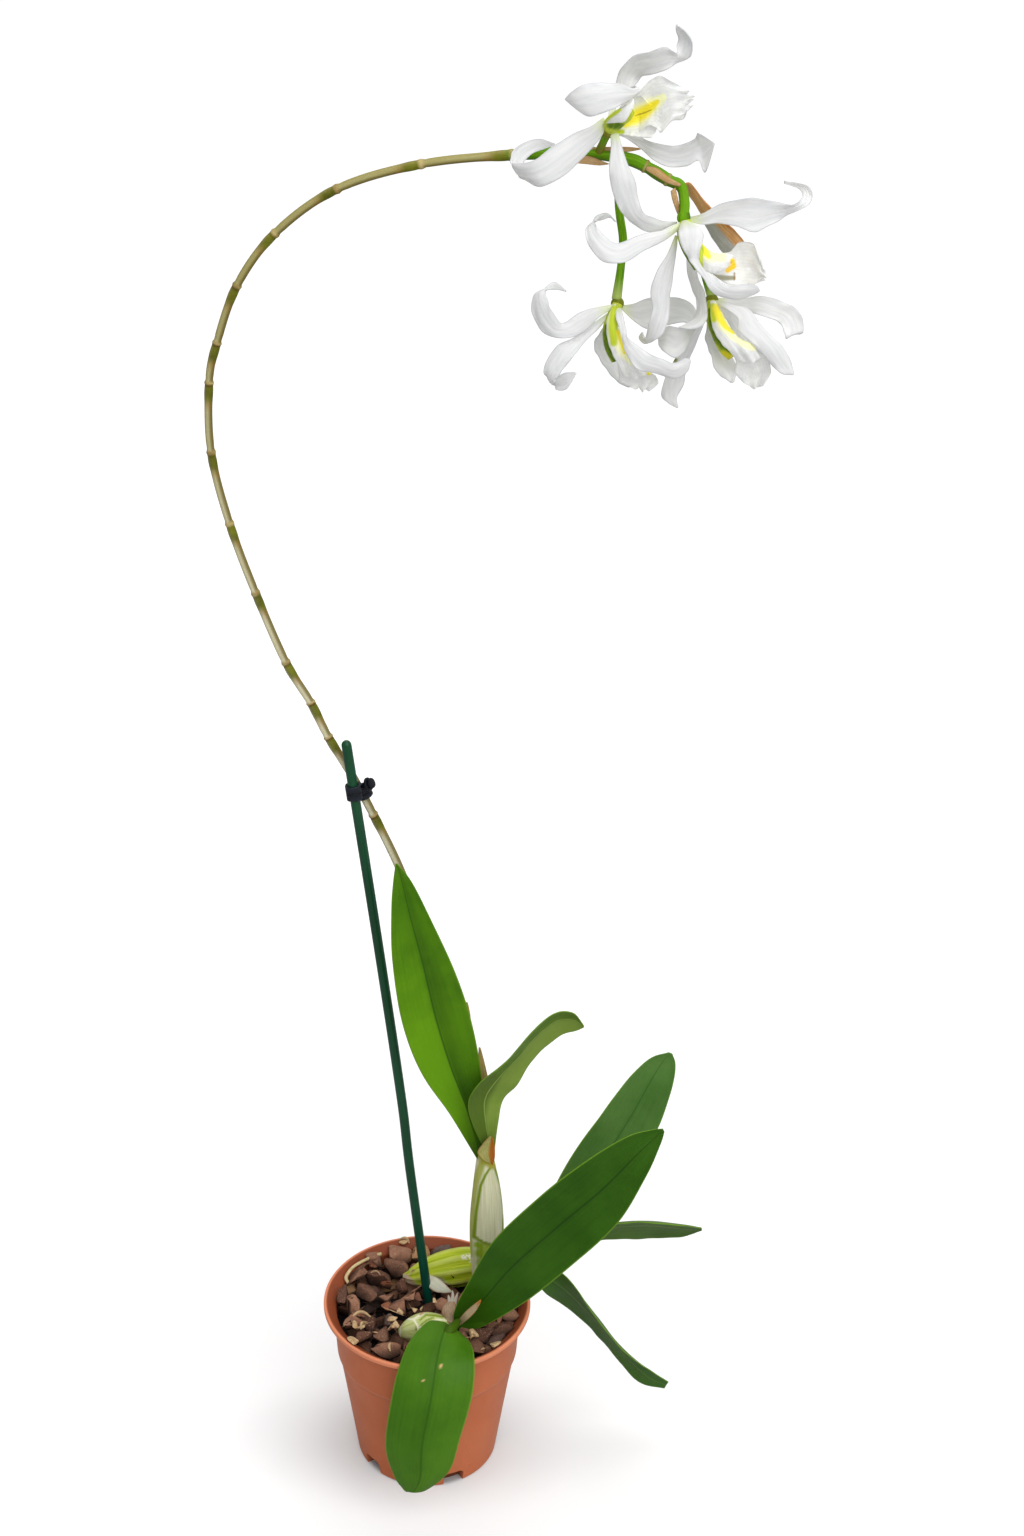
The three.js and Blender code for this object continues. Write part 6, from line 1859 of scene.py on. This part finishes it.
flower_piece("flower_1_hood", "", blade(HOOD_ROWS, HOOD, 16, 8), LIP_WHITE, node=False)
for (flower, outlines), column in zip(FLOWERS.items(), COLUMNS):
    body = drawn_tube(column, 24, 12)
    flower_piece(f"{flower}_column", "_grown", body, COLUMN_GREEN)
    fan = blade(outlines["fan"], FAN_LOOKS.get(flower, FAN), 72, 18)
    lip = joined(blade(outlines["lip"], LIP, 44, 20), fan)
    flower_piece(f"{flower}_lip", "_ruffled", lip, LIP_WHITE)
    for tepal in [name for name in outlines if name not in ("lip", "fan")]:
        body = blade(outlines[tepal], TEPAL, 20, 10)
        flower_piece(f"{flower}_{tepal}", "_veined", body, TEPAL_WHITE)
print("flowers:", len(FLOWERS))

# %% [markdown]
# ## Bracts, scales and husks
# Dry leafy scraps stay on the plant: bracts at the flower stalks, scales at the feet of a leaf
# and a bulb, and ragged husks. They are small blades in papery tans, paler and darker in turns.

# %% Bracts and scales
BRACT = {**TEPAL, "thickness": 0.8, "bow": 0.12, "wave": 0, "crinkle": 0.15, "vein": 0.08}
TAN = [(242, 210, 150), (214, 152, 86), (196, 184, 168)]
BRACT_PAINTS = {
    "bract_long": [(240, 188, 122), (222, 148, 76), (196, 193, 188)],
    "leaf_scale": [(232, 212, 176), (206, 168, 122), (214, 196, 160)],
    "bulb_scale": [(206, 212, 186), (222, 224, 208), (150, 162, 136)],
}
SLIM = {"leaf_scale": 0.32}


def slimmed(rows, share):
    """The rows with both edges drawn in to the middle line by share of their way to it."""
    rows = np.array(rows, float)
    drawn_in = share * (rows[:, 3:6] - rows[:, 0:3]) / 2
    return np.hstack([rows[:, 0:3] + drawn_in, rows[:, 3:6] - drawn_in])


for name, rows in BRACTS.items():
    finish = material(f"{name}_dry", bract_paint, *BRACT_PAINTS.get(name, TAN))
    body = blade(slimmed(rows, SLIM.get(name, 0)), BRACT, 14, 10)
    across, share = body["marks"]["across"], body["marks"]["share"]
    if name == "leaf_scale":
        body["marks"]["tip"] = ease(share, 0.75, 1)
    if name == "bract_long":
        body["marks"]["inside"] = (1 - ease(across, 0.2, 0.4)) * ease(share, 0.4, 0.5)
    piece(f"{name}_papery", body, name, finish)
print("bracts and scales:", len(BRACTS))

# %% Husks
HUSKS = {
    "husk_tall": [
        [28.4, 274.4, 4, 29.2, 274, 4], [28.2, 268, 3, 30.6, 268.1, 3],
        [28.2, 261, 2, 32.1, 261.4, 2], [28, 254, 2, 33.3, 254.6, 2], [28, 246, 2, 33, 247, 2],
        [29, 236, 3, 32, 237, 3],
    ],
    "husk_small": [
        [21.4, 303, 2, 21.9, 302.8, 2], [21, 299, 2, 22.7, 299, 2], [21, 294, 2, 23.5, 294, 2],
        [22, 289, 3, 23.6, 289, 3],
    ],
    "husk_low": [
        [11.6, 100.6, -13, 16, 100.8, -14], [9.2, 97, -15, 17, 97, -17],
        [8.8, 92.6, -18, 16.6, 92, -20], [10.6, 88.6, -20, 15.2, 87.2, -22],
        [12, 86, -22, 14.4, 85, -23],
    ],
    "husk_tip_1": [
        [12.2, 105.8, -7, 12.5, 105.8, -7], [12, 103, -9, 13.6, 103.4, -9],
        [12.4, 98.4, -12, 15, 98.4, -12],
    ],
    "husk_tip_2": [
        [14.6, 109, -5, 14.9, 109, -5], [14, 105, -8, 15.8, 105.4, -8],
        [13.4, 98.6, -12, 16, 98.6, -12],
    ],
    "husk_tip_3": [
        [17.8, 107.8, -6, 18, 107.6, -6], [16.2, 104.4, -9, 17.6, 104, -9],
        [14.6, 98.4, -12, 17, 98.2, -13],
    ],
    "neck_flap": [
        [33.6, 198.6, -2, 36.8, 196.6, -2], [30, 201.6, -3, 37.8, 200.6, -3],
        [28.4, 205.4, -4, 38, 204.4, -4], [30.4, 209.6, -5, 37.8, 209, -5],
        [33.2, 213.6, -6, 37, 213.4, -6], [35.4, 216, -6.5, 36, 215.8, -6.5],
    ],
}
HUSK_TAN_PAINT = [(224, 204, 122), (168, 126, 38), (190, 176, 156)]
HUSK_WHITE_PAINT = [(240, 237, 228), (216, 204, 190), (190, 176, 156)]
HUSK_PAINTS = {
    "husk_low": ((196, 168, 140), (134, 98, 74), (236, 232, 222)),
    "neck_flap": ((192, 194, 112), (164, 164, 66), (194, 112, 30)),
}
for name, rows in HUSKS.items():
    look = HUSK_WHITE_PAINT if "tip" in name else HUSK_TAN_PAINT
    finish = material(f"{name}_dry", bract_paint, *HUSK_PAINTS.get(name, look))
    body = blade(rows, BRACT, 12, 8)
    if name == "neck_flap":
        body["marks"]["inside"] = ease(body["marks"]["across"], 0.1, 0.5)
    piece(name, body, None, finish)
print("husks:", len(HUSKS))

# %% [markdown]
# ## Stage
# A white sheet that rises far behind, soft light from all round and more from the front right,
# and the photograph's camera. The room shows white to the camera, also beyond the sheet, but
# lights the plant with half of that.

# %% Floor
SHEET_FRONT = -3.0
SHEET_BACK = 12.0
SHEET_RISE = 4.0
SHEET_TURN = 1.5
SHEET_SIDE = 6


def sheet_mesh():
    """A floor that turns up into a wall by a quarter circle of SHEET_TURN metres."""
    turn = np.linspace(0, np.pi / 2, 24)
    y = SHEET_BACK + SHEET_TURN * np.array([*np.sin(turn), 1])
    z = SHEET_TURN * (1 - np.cos(turn))
    rows = np.stack([[SHEET_FRONT, *y], [0, *z, SHEET_RISE]], 1)
    points = [(x, *row) for row in rows for x in (-SHEET_SIDE, SHEET_SIDE)]
    faces = [(2 * i, 2 * i + 1, 2 * i + 3, 2 * i + 2) for i in range(len(rows) - 1)]
    mesh = bpy.data.meshes.new("floor_sheet")
    mesh.from_pydata(points, [], faces)
    mesh.shade_smooth()
    mesh.materials.append(FLOOR_WHITE)
    return mesh


floor = bpy.data.objects.new("floor_sheet", sheet_mesh())
bpy.context.scene.collection.objects.link(floor)
print("floor faces:", len(floor.data.polygons))

# %% Lights
ROOM_LIGHT = 0.5


def area_light(name, place, target, size, power):
    """A square soft light at place that looks at target."""
    light = bpy.data.lights.new(name, "AREA")
    light.size = size
    light.energy = power
    made = bpy.data.objects.new(name, light)
    made.location = place
    way = np.asarray(target, float) - np.asarray(place, float)
    pitch = math.acos(-way[2] / np.linalg.norm(way))
    made.rotation_euler = (pitch, 0, math.atan2(way[1], way[0]) - math.pi / 2)
    bpy.context.scene.collection.objects.link(made)


area_light("key", (0.7, -1.5, 2.0), (0, 0, 0.4), 2.4, 46)
area_light("top", (0.2, 0.9, 2.6), (0, 0, 0.3), 1.4, 16)

world = bpy.data.worlds.new("white_room")
world.use_nodes = True
room = Sketch(world.node_tree)
seen = room.add("ShaderNodeLightPath", {}, "Is Camera Ray")
strength = {"Value": seen, "To Min": ROOM_LIGHT, "To Max": 1.0}
backdrop = world.node_tree.nodes["Background"]
room.feed(backdrop.inputs["Color"], (255, 255, 255))
room.feed(backdrop.inputs["Strength"], room.add("ShaderNodeMapRange", strength))
bpy.context.scene.world = world
bpy.context.scene.view_settings.view_transform = "Standard"
print("lights:", len(bpy.data.lights))

# %% Camera
CAMERA_PLACE = (0, -0.997, 0.901)
CAMERA_TILT = 24.7
CAMERA_SHIFT = 0.0553
lens = bpy.data.cameras.new("camera")
lens.lens = 50
lens.sensor_width = 36
lens.shift_x = CAMERA_SHIFT
lens.clip_end = 50
camera = bpy.data.objects.new("camera", lens)
camera.location = CAMERA_PLACE
camera.rotation_euler = (math.radians(90 - CAMERA_TILT), 0, 0)
bpy.context.scene.collection.objects.link(camera)
bpy.context.scene.camera = camera
print("camera looks down by:", CAMERA_TILT)
